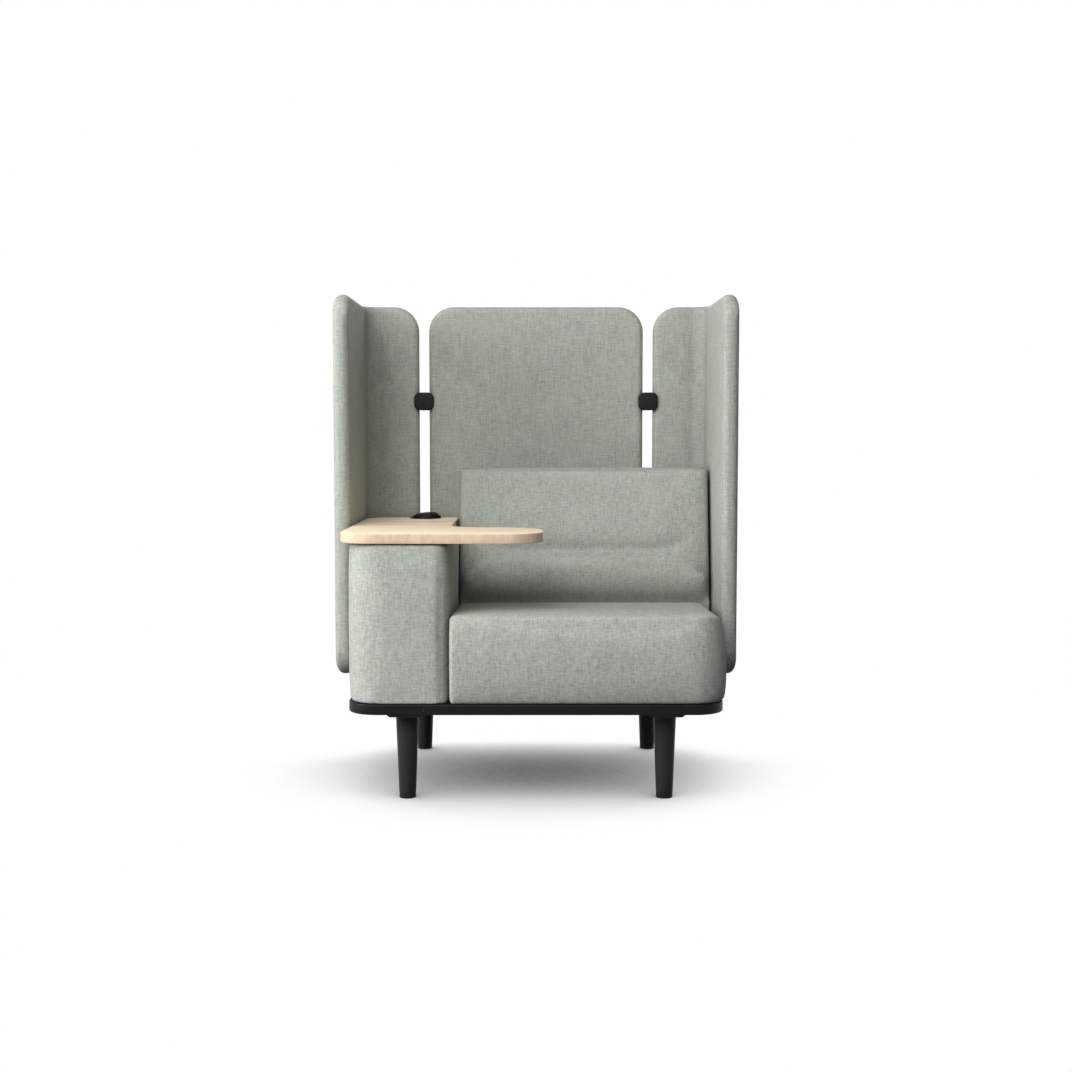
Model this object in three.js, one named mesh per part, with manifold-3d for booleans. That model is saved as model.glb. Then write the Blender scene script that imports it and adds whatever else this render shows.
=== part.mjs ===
// Acoustic high-back lounge chair with an upholstered arm box, a side table and three padded screens.
// Millimetres, +Z up. x runs to the right as the chair is faced, y runs back from the front of the base.

import * as THREE from 'three';
import { mergeVertices } from 'three/addons/utils/BufferGeometryUtils.js';
import Module from 'manifold-3d';

const wasm = await Module();
wasm.setup();

// Fits shared by the whole chair
const seatGap = 0.3;            // between a piece and what it rests against
const overrun = 3;              // how far a cutter runs past the face it cuts
const boltClearance = 0.3;      // radial, bolt to hole
const weldTolerance = 0.0001;   // points nearer than this are one
const cornerKeepShare = 0.2;    // of a corner's radius, kept however far its outline is drawn in

// Base rail
const baseWidth = 910;
const baseDepth = 690;
const baseCornerRadius = 75;
const railHeight = 26;
const railDepth = 24;
const railWall = 4;
const railEdge = 3;

// Legs and levelling glides
const legSpread = 626;          // between leg axes, left to right
const legInset = 62;            // leg axis behind the front of the base, and before its rear
const legLength = 194.4;
const legTopRadius = 27.7;
const legFootRadius = 20.6;
const legEdge = 1.5;
const studRadius = 5;
const studLength = 18;
const glideHeight = 12;
const glideRadius = 20.2;
const glideEdge = 2;
const glideStemRadius = 4;
const glideStemLength = 32;
const glideStemRoom = 1;        // free bore above the stem

// Cast leg brackets, let into the rail
const bracketWidth = 90;
const bracketDrop = 5.5;        // pad below the rail
const bracketChamfer = 8;
const bracketReach = 108;
const bracketPlate = 5;
const bracketTailRadius = 28;
const bracketRibWidth = 5;
const bossRadius = 29;

// Deck and cross bars inside the rail
const deckThickness = 12;
const deckClearance = 0.5;
const crossBarWidth = 40;
const crossBarSpacing = 230;

// Upholstery plan
const skirtInset = 1;           // cloth behind the rail's front face where it meets the rail
const skirtSideInset = 5;       // and inside its two sides
const armWidth = 245;
const armRearSetback = 101;     // before the rear of the base, which leaves room for the power unit behind it
const armSeatGap = 2.5;
const armFrontInnerRadius = 22;
const armRearRadius = 30;
const armPadding = 22;
const armBulge = 4;
const armTopEdge = 8;
const armTableGap = 3;          // shadow gap under the table, filled by the mounting plate
const carcassWall = 15;

// Seat cushion
const seatFrontHeight = 213;    // above the rail, at the front edge
const seatRake = 23;            // how much lower the seat is at the back
const seatRearSetback = 220;    // from the seat's rear edge to the rear of the base
const seatSideBulge = 12;
const seatFrontBulge = 8;
const seatTopEdge = 11;
const seatCrown = 6;
const seatInnerRadius = 9;
const seatRearRadius = 12;

// Back cushion
const backHeight = 549;         // above the rail
const backLean = 75;            // how far the top lies behind the bottom of the front face
const backDepth = 171;          // at the bottom
const backArmGap = 5;           // beside the arm
const backOverhang = 6;         // past the right side of the base, between the screens
const backEdge = 11;
const lumbarDepth = 17;
const lumbarHeight = 285;       // above the rail
const lumbarSpread = 62;
const creaseDepth = 4;
const creaseHeight = 334;
const creaseSpread = 12;
const sideFade = 80;            // width over which the lumbar roll dies out at each side

// Back board and the uprights behind it
const backBoard = 18;
const backBoardInset = 14;
const uprightWidth = 30;
const uprightDepth = 20;
const uprightWall = 2;
const uprightHeight = 470;
const uprightSpacing = 300;
const uprightFootWidth = 70;
const uprightFootThickness = 4;
const spacerRadius = 14;
const spacerHoleRadius = 4;
const spacerHeight = 400;       // above the rail

// Table
const tableHeight = 409;        // above the rail
const tableThickness = 22.5;
const tableEdge = 1.5;
const tableFront = 8;
const tableRearOverhang = 8;    // past the rear of the base
const tableSideOverhang = 15;   // past the left side of the base
const tableInnerOverhang = 8;   // the table stops short of the arm's inner face by this
const tongueReach = 235;        // past the arm's inner edge of the table
const tongueDepth = 240;
const tableOuterRadius = 82;
const tongueFrontRadius = 84;
const tongueRearRadius = 114;
const tongueFillet = 80;
const tableInnerCorner = 14;
const mountPlateInset = 40;

// Power unit in the table
const powerFromBack = 53;       // its axis, before the table's rear edge
const powerFromSide = 161;      // its axis, from the table's left edge
const flangeRadius = 43.5;
const flangeThickness = 2.6;
const flangeEdge = 1.4;
const sleeveRadius = 39.5;
const sleeveWall = 2.5;
const sleeveLength = 42;
const holeClearance = 0.5;
const nutRadius = 47;
const nutHeight = 8;
const nutGrips = 8;
const nutGripRadius = 3;
const insertFloor = 6;          // below the flange's top
const insertHeight = 34;
const insertLedge = 3;
const insertCap = 2;
const portLength = 8.8;
const portHeight = 2.8;
const portDepth = 7;
const portSpacing = 14;         // between the middles of the two charging ports
const portSetback = 12;         // of the ports from the middle of the insert
const inletWidth = 20;
const inletDepth = 24;
const inletHeight = 14;
const inletWall = 2;
const lidRadius = 37.5;
const lidRise = 14;
const lidWall = 1.8;
const lidPeakShift = 11;
const knuckleRadius = 2.6;
const knuckleLength = 12;
const lugLength = 4;
const hingePinRadius = 1.1;
const hingeClearance = 0.25;
const pinClearance = 0.1;       // radial, hinge pin to knuckle
const hingeOffset = 1.6;        // axis beyond the lid's rim

// Screens
const screenThickness = 42;
const screenClearance = 21;     // between the base's sides and the screens' inner faces
const screenRearClearance = 26; // between the base's rear and the centre screen
const screenLift = 19.5;        // bottom of the screens, above the rail
const screenHeight = 983;
const screenCornerRadius = 71;
const screenEdge = 17;
const screenGap = 28.5;
const screenCentreWidth = 606;
const screenSideReach = 410;    // from the front edge of the side screens to the rear of the base
const screenBendRadius = 40;    // inner face of the bend
const screenCrown = 1.2;

// Clips that join the screens
const clipWidth = 55;
const clipHeight = 50;
const clipDrop = 266;           // axis of the clips, below the top of the screens
const clipThickness = 7;
const clipCorner = 17;
const clipEdge = 2.8;
const clipWebClearance = 0.5;
const clipWebHeight = 34;
const clipScrewRadius = 2.5;
const clipScrewLength = 26;
const clipScrewHead = 4.6;
const clipScrewHeadHeight = 2.6;
const clipScrewSpacing = 20;

// Steel straps that carry the corner screens from the side rails
const strapWidth = 50;
const strapThickness = 3;
const strapInnerReach = 30;     // under the rail, inwards from its face
const strapRise = 130;
const strapBend = 3;
const strapFrontSetback = 100;  // axis of the front straps, behind the front edge of the side screens
const strapRearSetback = 150;   // axis of the rear straps, before the rear of the base
const strapBoltRadius = 4;
const strapBoltHead = 7;
const strapBoltHeadHeight = 4;
const strapNut = 6;             // thread that stands into the rail's channel

// Facet counts
const legSides = 20;
const glideSides = 16;
const powerSides = 28;
const boltSides = 8;
const socketSides = 6;
const arcSteps = 6;
const extrudeArcSteps = arcSteps / 2;   // an extruded arc gets twice this many spans
const edgeSteps = 3;
const edgeBevelSteps = 2;

// Heights that follow from the sizes above
const legBottom = glideHeight + seatGap;
const bracketBottom = legBottom + legLength + seatGap;
const railBottom = bracketBottom + bracketDrop;
const railTop = railBottom + railHeight;
const clothBottom = railTop + seatGap;
const deckTop = railTop;
const deckBottom = deckTop - deckThickness;
const tableTop = railTop + tableHeight;
const tableBottom = tableTop - tableThickness;
const armTop = tableBottom - armTableGap;
const seatFrontTop = railTop + seatFrontHeight;
const backTop = railTop + backHeight;
const screenBottom = railTop + screenLift;
const screenTop = screenBottom + screenHeight;
const clipLevel = screenTop - clipDrop;

// Places that follow from the sizes above
const halfBase = baseWidth / 2;
const seatLength = baseDepth - seatRearSetback;
const legX = legSpread / 2;
const rearLegY = baseDepth - legInset;
const armLeft = -halfBase + skirtSideInset;
const armRight = armLeft + armWidth - skirtSideInset;
const armRear = baseDepth - armRearSetback;
const seatLeft = armRight + armSeatGap;
const seatRight = halfBase - skirtSideInset;
const seatRear = seatLength - seatGap;
const backLeft = armRight + backArmGap;
const backRight = halfBase + backOverhang;
const backRear = seatLength + backDepth;
const boardFront = backRear + seatGap;
const boardRear = boardFront + backBoard;
const screenInner = halfBase + screenClearance;
const screenOuter = screenInner + screenThickness;
const screenFace = baseDepth + screenRearClearance;
const screenRear = screenFace + screenThickness;
const screenFront = baseDepth - screenSideReach;
const screenMiddleRadius = screenBendRadius + screenThickness / 2;
const clipX = (screenCentreWidth + screenGap) / 2;
const clipRearFace = screenRear + seatGap + seatGap + clipThickness;
const tableLeft = -halfBase - tableSideOverhang;
const tableRight = armRight - tableInnerOverhang;
const tableBack = baseDepth + tableRearOverhang;
const powerX = tableLeft + powerFromSide;
const powerY = tableBack - powerFromBack;
const flangeTop = tableTop + seatGap + flangeThickness;
const hingeX = lidRadius + hingeOffset;
const hingeZ = knuckleRadius + hingeClearance;             // above the lid's rim
const hingeLevel = flangeThickness + seatGap + hingeZ;     // above the flange's seat on the table
const depthMiddle = (clipRearFace + skirtInset - seatFrontBulge) / 2;

// Side and y of each strap's axis on the side rails
const strapPlaces = {
  left_front: [-1, screenFront + strapFrontSetback],
  left_rear: [-1, baseDepth - strapRearSetback],
  right_front: [1, screenFront + strapFrontSetback],
  right_rear: [1, baseDepth - strapRearSetback],
};

const chair = new THREE.Group();
chair.position.y = -depthMiddle;

// Materials, one for each mesh
const cloth = () => new THREE.MeshStandardMaterial({ color: 0xa6aba1, roughness: 0.95, metalness: 0 });
const blackMetal = () => new THREE.MeshStandardMaterial({ color: 0x232323, roughness: 0.5, metalness: 0.3 });
const blackPlastic = () => new THREE.MeshStandardMaterial({ color: 0x1d1d1e, roughness: 0.45, metalness: 0 });
const plywood = () => new THREE.MeshStandardMaterial({ color: 0xc8a878, roughness: 0.7, metalness: 0 });
const birch = () => new THREE.MeshStandardMaterial({ color: 0xe9d0b2, roughness: 0.5, metalness: 0 });
const steel = () => new THREE.MeshStandardMaterial({ color: 0x9a9c9e, roughness: 0.4, metalness: 0.9 });

function addPiece(name, geometry, material, parent = chair) {
  const mesh = new THREE.Mesh(geometry, material);
  mesh.name = name;
  parent.add(mesh);
  return mesh;
}

// Turns a body inside out if its volume comes out negative.
function outward(geometry) {
  const position = geometry.getAttribute('position');
  const index = geometry.getIndex();
  const a = new THREE.Vector3();
  const b = new THREE.Vector3();
  const c = new THREE.Vector3();
  let volume = 0;
  for (let i = 0; i < index.count; i += 3) {
    a.fromBufferAttribute(position, index.getX(i));
    b.fromBufferAttribute(position, index.getX(i + 1));
    c.fromBufferAttribute(position, index.getX(i + 2));
    volume += a.dot(b.cross(c));
  }
  if (volume < 0) {
    for (let i = 0; i < index.count; i += 3) {
      const first = index.getX(i);
      index.setX(i, index.getX(i + 1));
      index.setX(i + 1, first);
    }
  }
  return geometry;
}

function welded(geometry) {
  const plain = geometry.index ? geometry.clone() : geometry;
  plain.deleteAttribute('normal');
  plain.deleteAttribute('uv');
  return outward(mergeVertices(plain, weldTolerance));
}

function toSolid(geometry) {
  const closed = welded(geometry);
  return new wasm.Manifold(new wasm.Mesh({
    numProp: 3,
    vertProperties: new Float32Array(closed.getAttribute('position').array),
    triVerts: new Uint32Array(closed.getIndex().array),
  }));
}

function toGeometry(solid) {
  const mesh = solid.getMesh();
  const geometry = new THREE.BufferGeometry();
  geometry.setAttribute('position', new THREE.BufferAttribute(mesh.vertProperties, 3));
  geometry.setIndex(new THREE.BufferAttribute(mesh.triVerts, 1));
  geometry.computeVertexNormals();
  return geometry;
}

// First geometry with the rest joined on, then the cutters taken away.
function shaped(joined, cutters = []) {
  let solid = toSolid(joined[0]);
  for (const extra of joined.slice(1)) {
    solid = solid.add(toSolid(extra));
  }
  for (const cutter of cutters) {
    solid = solid.subtract(toSolid(cutter));
  }
  return toGeometry(solid);
}

function block(x0, x1, y0, y1, z0, z1) {
  const box = new THREE.BoxGeometry(x1 - x0, y1 - y0, z1 - z0);
  return box.translate((x0 + x1) / 2, (y0 + y1) / 2, (z0 + z1) / 2);
}

// Upright cylinder from z0 to z1.
function post(radius, z0, z1, sides, x = 0, y = 0) {
  const cylinder = new THREE.CylinderGeometry(radius, radius, z1 - z0, sides);
  return cylinder.rotateX(Math.PI / 2).translate(x, y, (z0 + z1) / 2);
}

// Revolved about +Z from [radius, height] pairs that start and end on the axis.
function turned(profile, sides) {
  const points = profile.map(([radius, height]) => new THREE.Vector2(radius, height));
  return welded(new THREE.LatheGeometry(points, sides).rotateX(Math.PI / 2));
}

// Shape with one radius for each corner, from the front left round to the rear left.
function roundedShape(x0, x1, y0, y1, radii) {
  const [frontLeft, frontRight, rearRight, rearLeft] = radii;
  const shape = new THREE.Shape();
  const right = Math.PI / 2;
  shape.absarc(x0 + frontLeft, y0 + frontLeft, frontLeft, Math.PI, 3 * right, false);
  shape.absarc(x1 - frontRight, y0 + frontRight, frontRight, 3 * right, 4 * right, false);
  shape.absarc(x1 - rearRight, y1 - rearRight, rearRight, 0, right, false);
  shape.absarc(x0 + rearLeft, y1 - rearLeft, rearLeft, right, Math.PI, false);
  shape.closePath();
  return shape;
}

// Straight extrusion up from z0 to z1 with its edges eased by edge, the outline staying at its size.
function slab(shape, z0, z1, edge = 0, bevels = edgeBevelSteps, steps = extrudeArcSteps) {
  const geometry = new THREE.ExtrudeGeometry(shape, {
    depth: z1 - z0 - 2 * edge,
    curveSegments: steps,
    bevelEnabled: edge > 0,
    bevelThickness: edge,
    bevelSize: edge,
    bevelOffset: -edge,
    bevelSegments: bevels,
  });
  return geometry.translate(0, 0, z0 + edge);
}

// Body through rings of equal point counts, its ends closed by fans, or a torus when joined is true.
function lofted(rings, joined = false) {
  const count = rings[0].length;
  const index = [];
  const spans = joined ? rings.length : rings.length - 1;
  for (let r = 0; r < spans; r++) {
    const next = (r + 1) % rings.length;
    for (let p = 0; p < count; p++) {
      const q = (p + 1) % count;
      index.push(r * count + p, r * count + q, next * count + q);
      index.push(r * count + p, next * count + q, next * count + p);
    }
  }
  if (!joined) {
    const lastStart = (rings.length - 1) * count;
    for (let p = 1; p < count - 1; p++) {
      index.push(0, p + 1, p);
      index.push(lastStart, lastStart + p, lastStart + p + 1);
    }
  }
  const geometry = new THREE.BufferGeometry();
  const positions = rings.flat().flatMap((point) => [point.x, point.y, point.z]);
  geometry.setAttribute('position', new THREE.Float32BufferAttribute(positions, 3));
  geometry.setIndex(index);
  const closed = outward(mergeVertices(geometry, weldTolerance));
  closed.computeVertexNormals();
  return closed;
}

// Plan outline as points, with sideSteps spans on each straight side.
function planRing(x0, x1, y0, y1, radii, inset, sideSteps) {
  const corners = [
    [x0, y0, 1, 1, 2],
    [x1, y0, -1, 1, 3],
    [x1, y1, -1, -1, 0],
    [x0, y1, 1, -1, 1],
  ];
  const ring = [];
  for (let c = 0; c < corners.length; c++) {
    const [x, y, towardsX, towardsY, quarter] = corners[c];
    const radius = Math.max(radii[c] - inset, radii[c] * cornerKeepShare);
    const centreX = x + towardsX * (inset + radius);
    const centreY = y + towardsY * (inset + radius);
    for (let s = 0; s <= arcSteps; s++) {
      const angle = (quarter + s / arcSteps) * Math.PI / 2;
      ring.push(new THREE.Vector2(centreX + radius * Math.cos(angle), centreY + radius * Math.sin(angle)));
    }
  }
  const filled = [];
  for (let p = 0; p < ring.length; p++) {
    const next = ring[(p + 1) % ring.length];
    filled.push(ring[p]);
    if ((p + 1) % (arcSteps + 1) === 0) {
      for (let s = 1; s < sideSteps; s++) {
        filled.push(ring[p].clone().lerp(next, s / sideSteps));
      }
    }
  }
  return filled;
}

// Base rail: a rounded frame with an inward channel, parted where the leg brackets are let in
function railShape(inset, innerInset) {
  const outer = roundedShape(
    -halfBase + inset, halfBase - inset, inset, baseDepth - inset,
    Array(4).fill(baseCornerRadius - inset),
  );
  const innerRadius = Math.max(baseCornerRadius - innerInset, railEdge);
  const inner = roundedShape(
    -halfBase + innerInset, halfBase - innerInset, innerInset, baseDepth - innerInset,
    Array(4).fill(innerRadius),
  );
  outer.holes.push(inner);
  return outer;
}

function addRails() {
  const ring = toSolid(slab(railShape(0, railDepth), railBottom, railTop, railEdge, edgeBevelSteps, arcSteps));
  const channel = toSolid(slab(
    railShape(railWall, railDepth + overrun), railBottom + railWall, railTop - railWall, 0, 0, arcSteps,
  ));
  let frame = ring.subtract(channel);
  for (const [side, y] of Object.values(strapPlaces)) {
    frame = frame.subtract(toSolid(post(
      strapBoltRadius + boltClearance, railBottom - overrun, railBottom + railWall + overrun, boltSides,
      side * (halfBase - railDepth / 2), y,
    )));
  }
  const inner = legX - bracketWidth / 2;
  const outer = legX + bracketWidth / 2;
  const zones = {
    front_rail: [-inner, inner, -overrun, baseDepth / 2],
    rear_rail: [-inner, inner, baseDepth / 2, baseDepth + overrun],
    left_rail: [-halfBase - overrun, -outer, -overrun, baseDepth + overrun],
    right_rail: [outer, halfBase + overrun, -overrun, baseDepth + overrun],
  };
  for (const [name, [x0, x1, y0, y1]] of Object.entries(zones)) {
    const zone = toSolid(block(x0, x1, y0, y1, railBottom - overrun, railTop + overrun));
    addPiece(name, toGeometry(frame.intersect(zone)), blackMetal());
  }
}

// Leg bracket in its own frame: the leg's axis is at the origin and the rail's face towards -y.
function bracketGeometry() {
  const half = bracketWidth / 2 - seatGap;
  const face = -legInset;
  const plateTop = deckBottom - seatGap;
  const profile = roundedShape(face, face + railDepth, railBottom, railTop, Array(4).fill(railEdge));
  const insert = new THREE.ExtrudeGeometry(profile, {
    depth: 2 * half, bevelEnabled: false, curveSegments: edgeSteps,
  });
  // The extrusion runs along z with the profile in x and y: turn it so that it runs along x.
  insert.rotateX(Math.PI / 2);
  insert.rotateZ(Math.PI / 2);
  insert.translate(-half, 0, 0);
  const pad = new THREE.Shape();
  pad.moveTo(-half + bracketChamfer, bracketBottom);
  pad.lineTo(half - bracketChamfer, bracketBottom);
  pad.lineTo(half, railBottom);
  pad.lineTo(half, railBottom + railEdge + railEdge);
  pad.lineTo(-half, railBottom + railEdge + railEdge);
  pad.lineTo(-half, railBottom);
  pad.closePath();
  const padBody = new THREE.ExtrudeGeometry(pad, { depth: railDepth - railEdge, bevelEnabled: false });
  padBody.rotateX(Math.PI / 2);
  padBody.translate(0, face + railDepth, 0);
  const plateShape = roundedShape(
    -half, half, face + railDepth / 2, face + bracketReach,
    [railEdge, railEdge, bracketTailRadius, bracketTailRadius],
  );
  const plate = slab(plateShape, plateTop - bracketPlate, plateTop);
  const boss = post(bossRadius, bracketBottom, plateTop, legSides);
  const ribs = [-1, 1].map((side) => {
    const x = side * (bossRadius - bracketRibWidth);
    return block(
      x - bracketRibWidth / 2, x + bracketRibWidth / 2,
      face + railDepth / 2, face + bracketReach - bracketTailRadius,
      bracketBottom + bracketDrop, plateTop,
    );
  });
  const bore = post(studRadius + boltClearance, bracketBottom - overrun, railTop + overrun, legSides);
  const screwHoles = [-1, 1].map((side) => post(
    strapBoltRadius, plateTop - bracketPlate - overrun, plateTop + overrun, boltSides,
    side * (half - strapBoltHead - railEdge), face + bracketReach - bracketTailRadius,
  ));
  return shaped([insert, padBody, plate, boss, ...ribs], [bore, ...screwHoles]);
}

function legGeometry() {
  const boreTop = glideStemLength + glideStemRoom;
  const boreRadius = glideStemRadius + boltClearance;
  return turned([
    [0, boreTop],
    [boreRadius, boreTop],
    [boreRadius, 0],
    [legFootRadius - legEdge, 0],
    [legFootRadius, legEdge],
    [legTopRadius, legLength - legEdge],
    [legTopRadius - legEdge, legLength],
    [studRadius, legLength],
    [studRadius, legLength + studLength - legEdge],
    [studRadius - legEdge, legLength + studLength],
    [0, legLength + studLength],
  ], legSides);
}

function glideGeometry() {
  return turned([
    [0, 0],
    [glideRadius - glideEdge, 0],
    [glideRadius, glideEdge],
    [glideRadius, glideHeight - glideEdge / 2],
    [glideRadius - glideEdge / 2, glideHeight],
    [glideStemRadius, glideHeight],
    [glideStemRadius, glideHeight + glideStemLength - legEdge],
    [glideStemRadius - legEdge, glideHeight + glideStemLength],
    [0, glideHeight + glideStemLength],
  ], glideSides);
}

function addLegs() {
  const corners = {
    front_left: [-legX, legInset, 0],
    front_right: [legX, legInset, 0],
    rear_left: [-legX, rearLegY, Math.PI],
    rear_right: [legX, rearLegY, Math.PI],
  };
  for (const [corner, [x, y, turn]] of Object.entries(corners)) {
    const place = new THREE.Group();
    place.position.set(x, y, 0);
    place.rotation.z = turn;
    chair.add(place);
    addPiece(`leg_bracket_${corner}`, bracketGeometry(), blackMetal(), place);
    const leg = addPiece(`leg_${corner}`, legGeometry(), blackMetal(), place);
    leg.position.z = legBottom;
    addPiece(`glide_${corner}`, glideGeometry(), blackPlastic(), place);
  }
}

function addDeck() {
  const inset = railDepth + deckClearance;
  const outline = roundedShape(
    -halfBase + inset, halfBase - inset, inset, baseDepth - inset,
    Array(4).fill(baseCornerRadius - inset),
  );
  addPiece('deck_board', welded(slab(outline, deckBottom, deckTop)), plywood());
  const end = railWall + seatGap;
  const bars = { left: -1, right: 1 };
  for (const [name, side] of Object.entries(bars)) {
    const x = side * crossBarSpacing / 2;
    const bar = block(
      x - crossBarWidth / 2, x + crossBarWidth / 2, end, baseDepth - end,
      railBottom + railWall + seatGap, deckBottom - seatGap,
    );
    addPiece(`cross_bar_${name}`, welded(bar), blackMetal());
  }
}

// Side profile of a padded block: share of its height, share of its bulge.
const seatSideShares = [[0, 0], [0.05, 0.47], [0.16, 0.78], [0.32, 0.95], [0.5, 1], [0.66, 0.8], [0.84, 0.45]];
const armSideShares = [[0, 0], [0.04, 0.5], [0.15, 0.9], [0.5, 1], [0.85, 0.9]];
const crownShares = [0.86, 0.62, 0.36, 0.12];

function seatTopAt(y) {
  return seatFrontTop - seatRake * y / seatLength;
}

// Seat: a box cushion with a large front corner, bulging sides and a top that falls to the back
function seatGeometry() {
  const front = skirtInset;
  const radii = [seatInnerRadius, baseCornerRadius, seatRearRadius, seatRearRadius];
  const sideSteps = 4;
  const middleX = (seatLeft + seatRight) / 2;
  const middleY = (front + seatRear) / 2;
  // Only the front and the right side bulge: the arm and the back close off the other two.
  const ringAt = (bulge, inset) => planRing(
    seatLeft + inset, seatRight + bulge * seatSideBulge - inset,
    front - bulge * seatFrontBulge + inset, seatRear - inset, radii, 0, sideSteps,
  );
  const rings = seatSideShares.map(([share, bulge]) => ringAt(bulge, 0).map((p) => {
    const top = seatTopAt(p.y) - seatTopEdge;
    return new THREE.Vector3(p.x, p.y, clothBottom + share * (top - clothBottom));
  }));
  const topBulge = seatSideShares[seatSideShares.length - 1][1] / 2;
  for (let s = 0; s <= edgeSteps; s++) {
    const angle = s / edgeSteps * Math.PI / 2;
    const inset = seatTopEdge * (1 - Math.cos(angle));
    rings.push(ringAt(topBulge, inset).map((p) => new THREE.Vector3(
      p.x, p.y, seatTopAt(p.y) - seatTopEdge * (1 - Math.sin(angle)),
    )));
  }
  const rim = rings[rings.length - 1];
  for (const share of crownShares) {
    rings.push(rim.map((p) => {
      const x = middleX + (p.x - middleX) * share;
      const y = middleY + (p.y - middleY) * share;
      return new THREE.Vector3(x, y, seatTopAt(y) + seatCrown * (1 - share * share));
    }));
  }
  return lofted(rings);
}

// Arm: a padded jacket round a plywood carcass
function armRadii() {
  return [baseCornerRadius, armFrontInnerRadius, armRearRadius / 2, armRearRadius];
}

function armJacketGeometry() {
  const sideSteps = 3;
  const outerAt = (bulge, inset) => planRing(
    armLeft - bulge * armBulge + inset, armRight - inset,
    skirtInset + inset, armRear - inset, armRadii(), 0, sideSteps,
  );
  const rings = armSideShares.map(([share, bulge]) => outerAt(bulge, 0).map((p) => new THREE.Vector3(
    p.x, p.y, clothBottom + share * (armTop - armTopEdge - clothBottom),
  )));
  const topBulge = armSideShares[armSideShares.length - 1][1];
  for (let s = 0; s <= edgeSteps; s++) {
    const angle = s / edgeSteps * Math.PI / 2;
    const inset = armTopEdge * (1 - Math.cos(angle));
    const z = armTop - armTopEdge * (1 - Math.sin(angle));
    rings.push(outerAt(topBulge, inset).map((p) => new THREE.Vector3(p.x, p.y, z)));
  }
  const inner = planRing(armLeft, armRight, skirtInset, armRear, armRadii(), armPadding, sideSteps);
  rings.push(inner.map((p) => new THREE.Vector3(p.x, p.y, armTop)));
  rings.push(inner.map((p) => new THREE.Vector3(p.x, p.y, clothBottom)));
  return lofted(rings, true);
}

function carcassGeometry() {
  const outline = (inset) => {
    const radii = armRadii().map((radius) => Math.max(radius - inset, radius * cornerKeepShare));
    return roundedShape(armLeft + inset, armRight - inset, skirtInset + inset, armRear - inset, radii);
  };
  const inset = armPadding + seatGap;
  const body = slab(outline(inset), clothBottom, armTop);
  const hollow = slab(outline(inset + carcassWall), clothBottom - overrun, armTop - carcassWall);
  return shaped([body], [hollow]);
}

function mountPlateGeometry() {
  const outline = roundedShape(
    armLeft + mountPlateInset, armRight - mountPlateInset,
    skirtInset + mountPlateInset, armRear - mountPlateInset, Array(4).fill(armPadding),
  );
  return welded(slab(outline, armTop + seatGap, tableBottom - seatGap));
}

// Table: a long board over the arm with a rounded tongue that reaches over the seat
function tableGeometry() {
  const tip = tableRight + tongueReach;
  const tongueRear = tableFront + tongueDepth;
  const quarter = Math.PI / 2;
  const shape = new THREE.Shape();
  shape.absarc(
    tableLeft + tableOuterRadius, tableFront + tableOuterRadius, tableOuterRadius, Math.PI, 3 * quarter, false,
  );
  shape.absarc(
    tip - tongueFrontRadius, tableFront + tongueFrontRadius, tongueFrontRadius, -quarter, 0, false,
  );
  shape.absarc(
    tip - tongueRearRadius, tongueRear - tongueRearRadius, tongueRearRadius, 0, quarter, false,
  );
  shape.absarc(
    tableRight + tongueFillet, tongueRear + tongueFillet, tongueFillet, -quarter, -Math.PI, true,
  );
  shape.absarc(
    tableRight - tableInnerCorner, tableBack - tableInnerCorner, tableInnerCorner, 0, quarter, false,
  );
  shape.absarc(
    tableLeft + tableOuterRadius, tableBack - tableOuterRadius, tableOuterRadius, quarter, Math.PI, false,
  );
  shape.closePath();
  const hole = post(
    sleeveRadius + holeClearance, tableBottom - overrun, tableTop + overrun, powerSides, powerX, powerY,
  );
  return shaped([slab(shape, tableBottom, tableTop, tableEdge, 1, arcSteps)], [hole]);
}

// Power unit: flange and sleeve, ring nut, socket insert with an inlet below, and a hinged domed lid
function flangeGeometry() {
  const inner = sleeveRadius - sleeveWall;
  const top = flangeThickness;
  const ring = welded(new THREE.LatheGeometry([
    [inner, top],
    [inner, top - sleeveLength],
    [sleeveRadius, top - sleeveLength],
    [sleeveRadius, 0],
    [flangeRadius, 0],
    [flangeRadius, flangeThickness - flangeEdge],
    [flangeRadius - flangeEdge, top],
    [inner, top],
  ].map(([radius, height]) => new THREE.Vector2(radius, height)), powerSides).rotateX(Math.PI / 2));
  const ledgeTop = top - insertFloor - seatGap;
  const ledge = shaped(
    [post(inner + sleeveWall / 2, ledgeTop - insertLedge, ledgeTop, powerSides)],
    [post(inner - insertLedge, -sleeveLength, sleeveLength, powerSides)],
  );
  const lugs = [-1, 1].map((side) => {
    const near = knuckleLength / 2 + seatGap;
    const y0 = side > 0 ? near : -near - lugLength;
    return block(
      hingeX - knuckleRadius, hingeX + knuckleRadius, y0, y0 + lugLength,
      flangeThickness - flangeEdge, hingeLevel + knuckleRadius,
    );
  });
  const holeRadius = hingePinRadius + pinClearance;
  const holeLength = knuckleLength + 2 * (lugLength + overrun);
  const pinHole = new THREE.CylinderGeometry(holeRadius, holeRadius, holeLength, boltSides);
  pinHole.translate(hingeX, 0, hingeLevel);
  return shaped([ring, ledge, ...lugs], [pinHole]);
}

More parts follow.
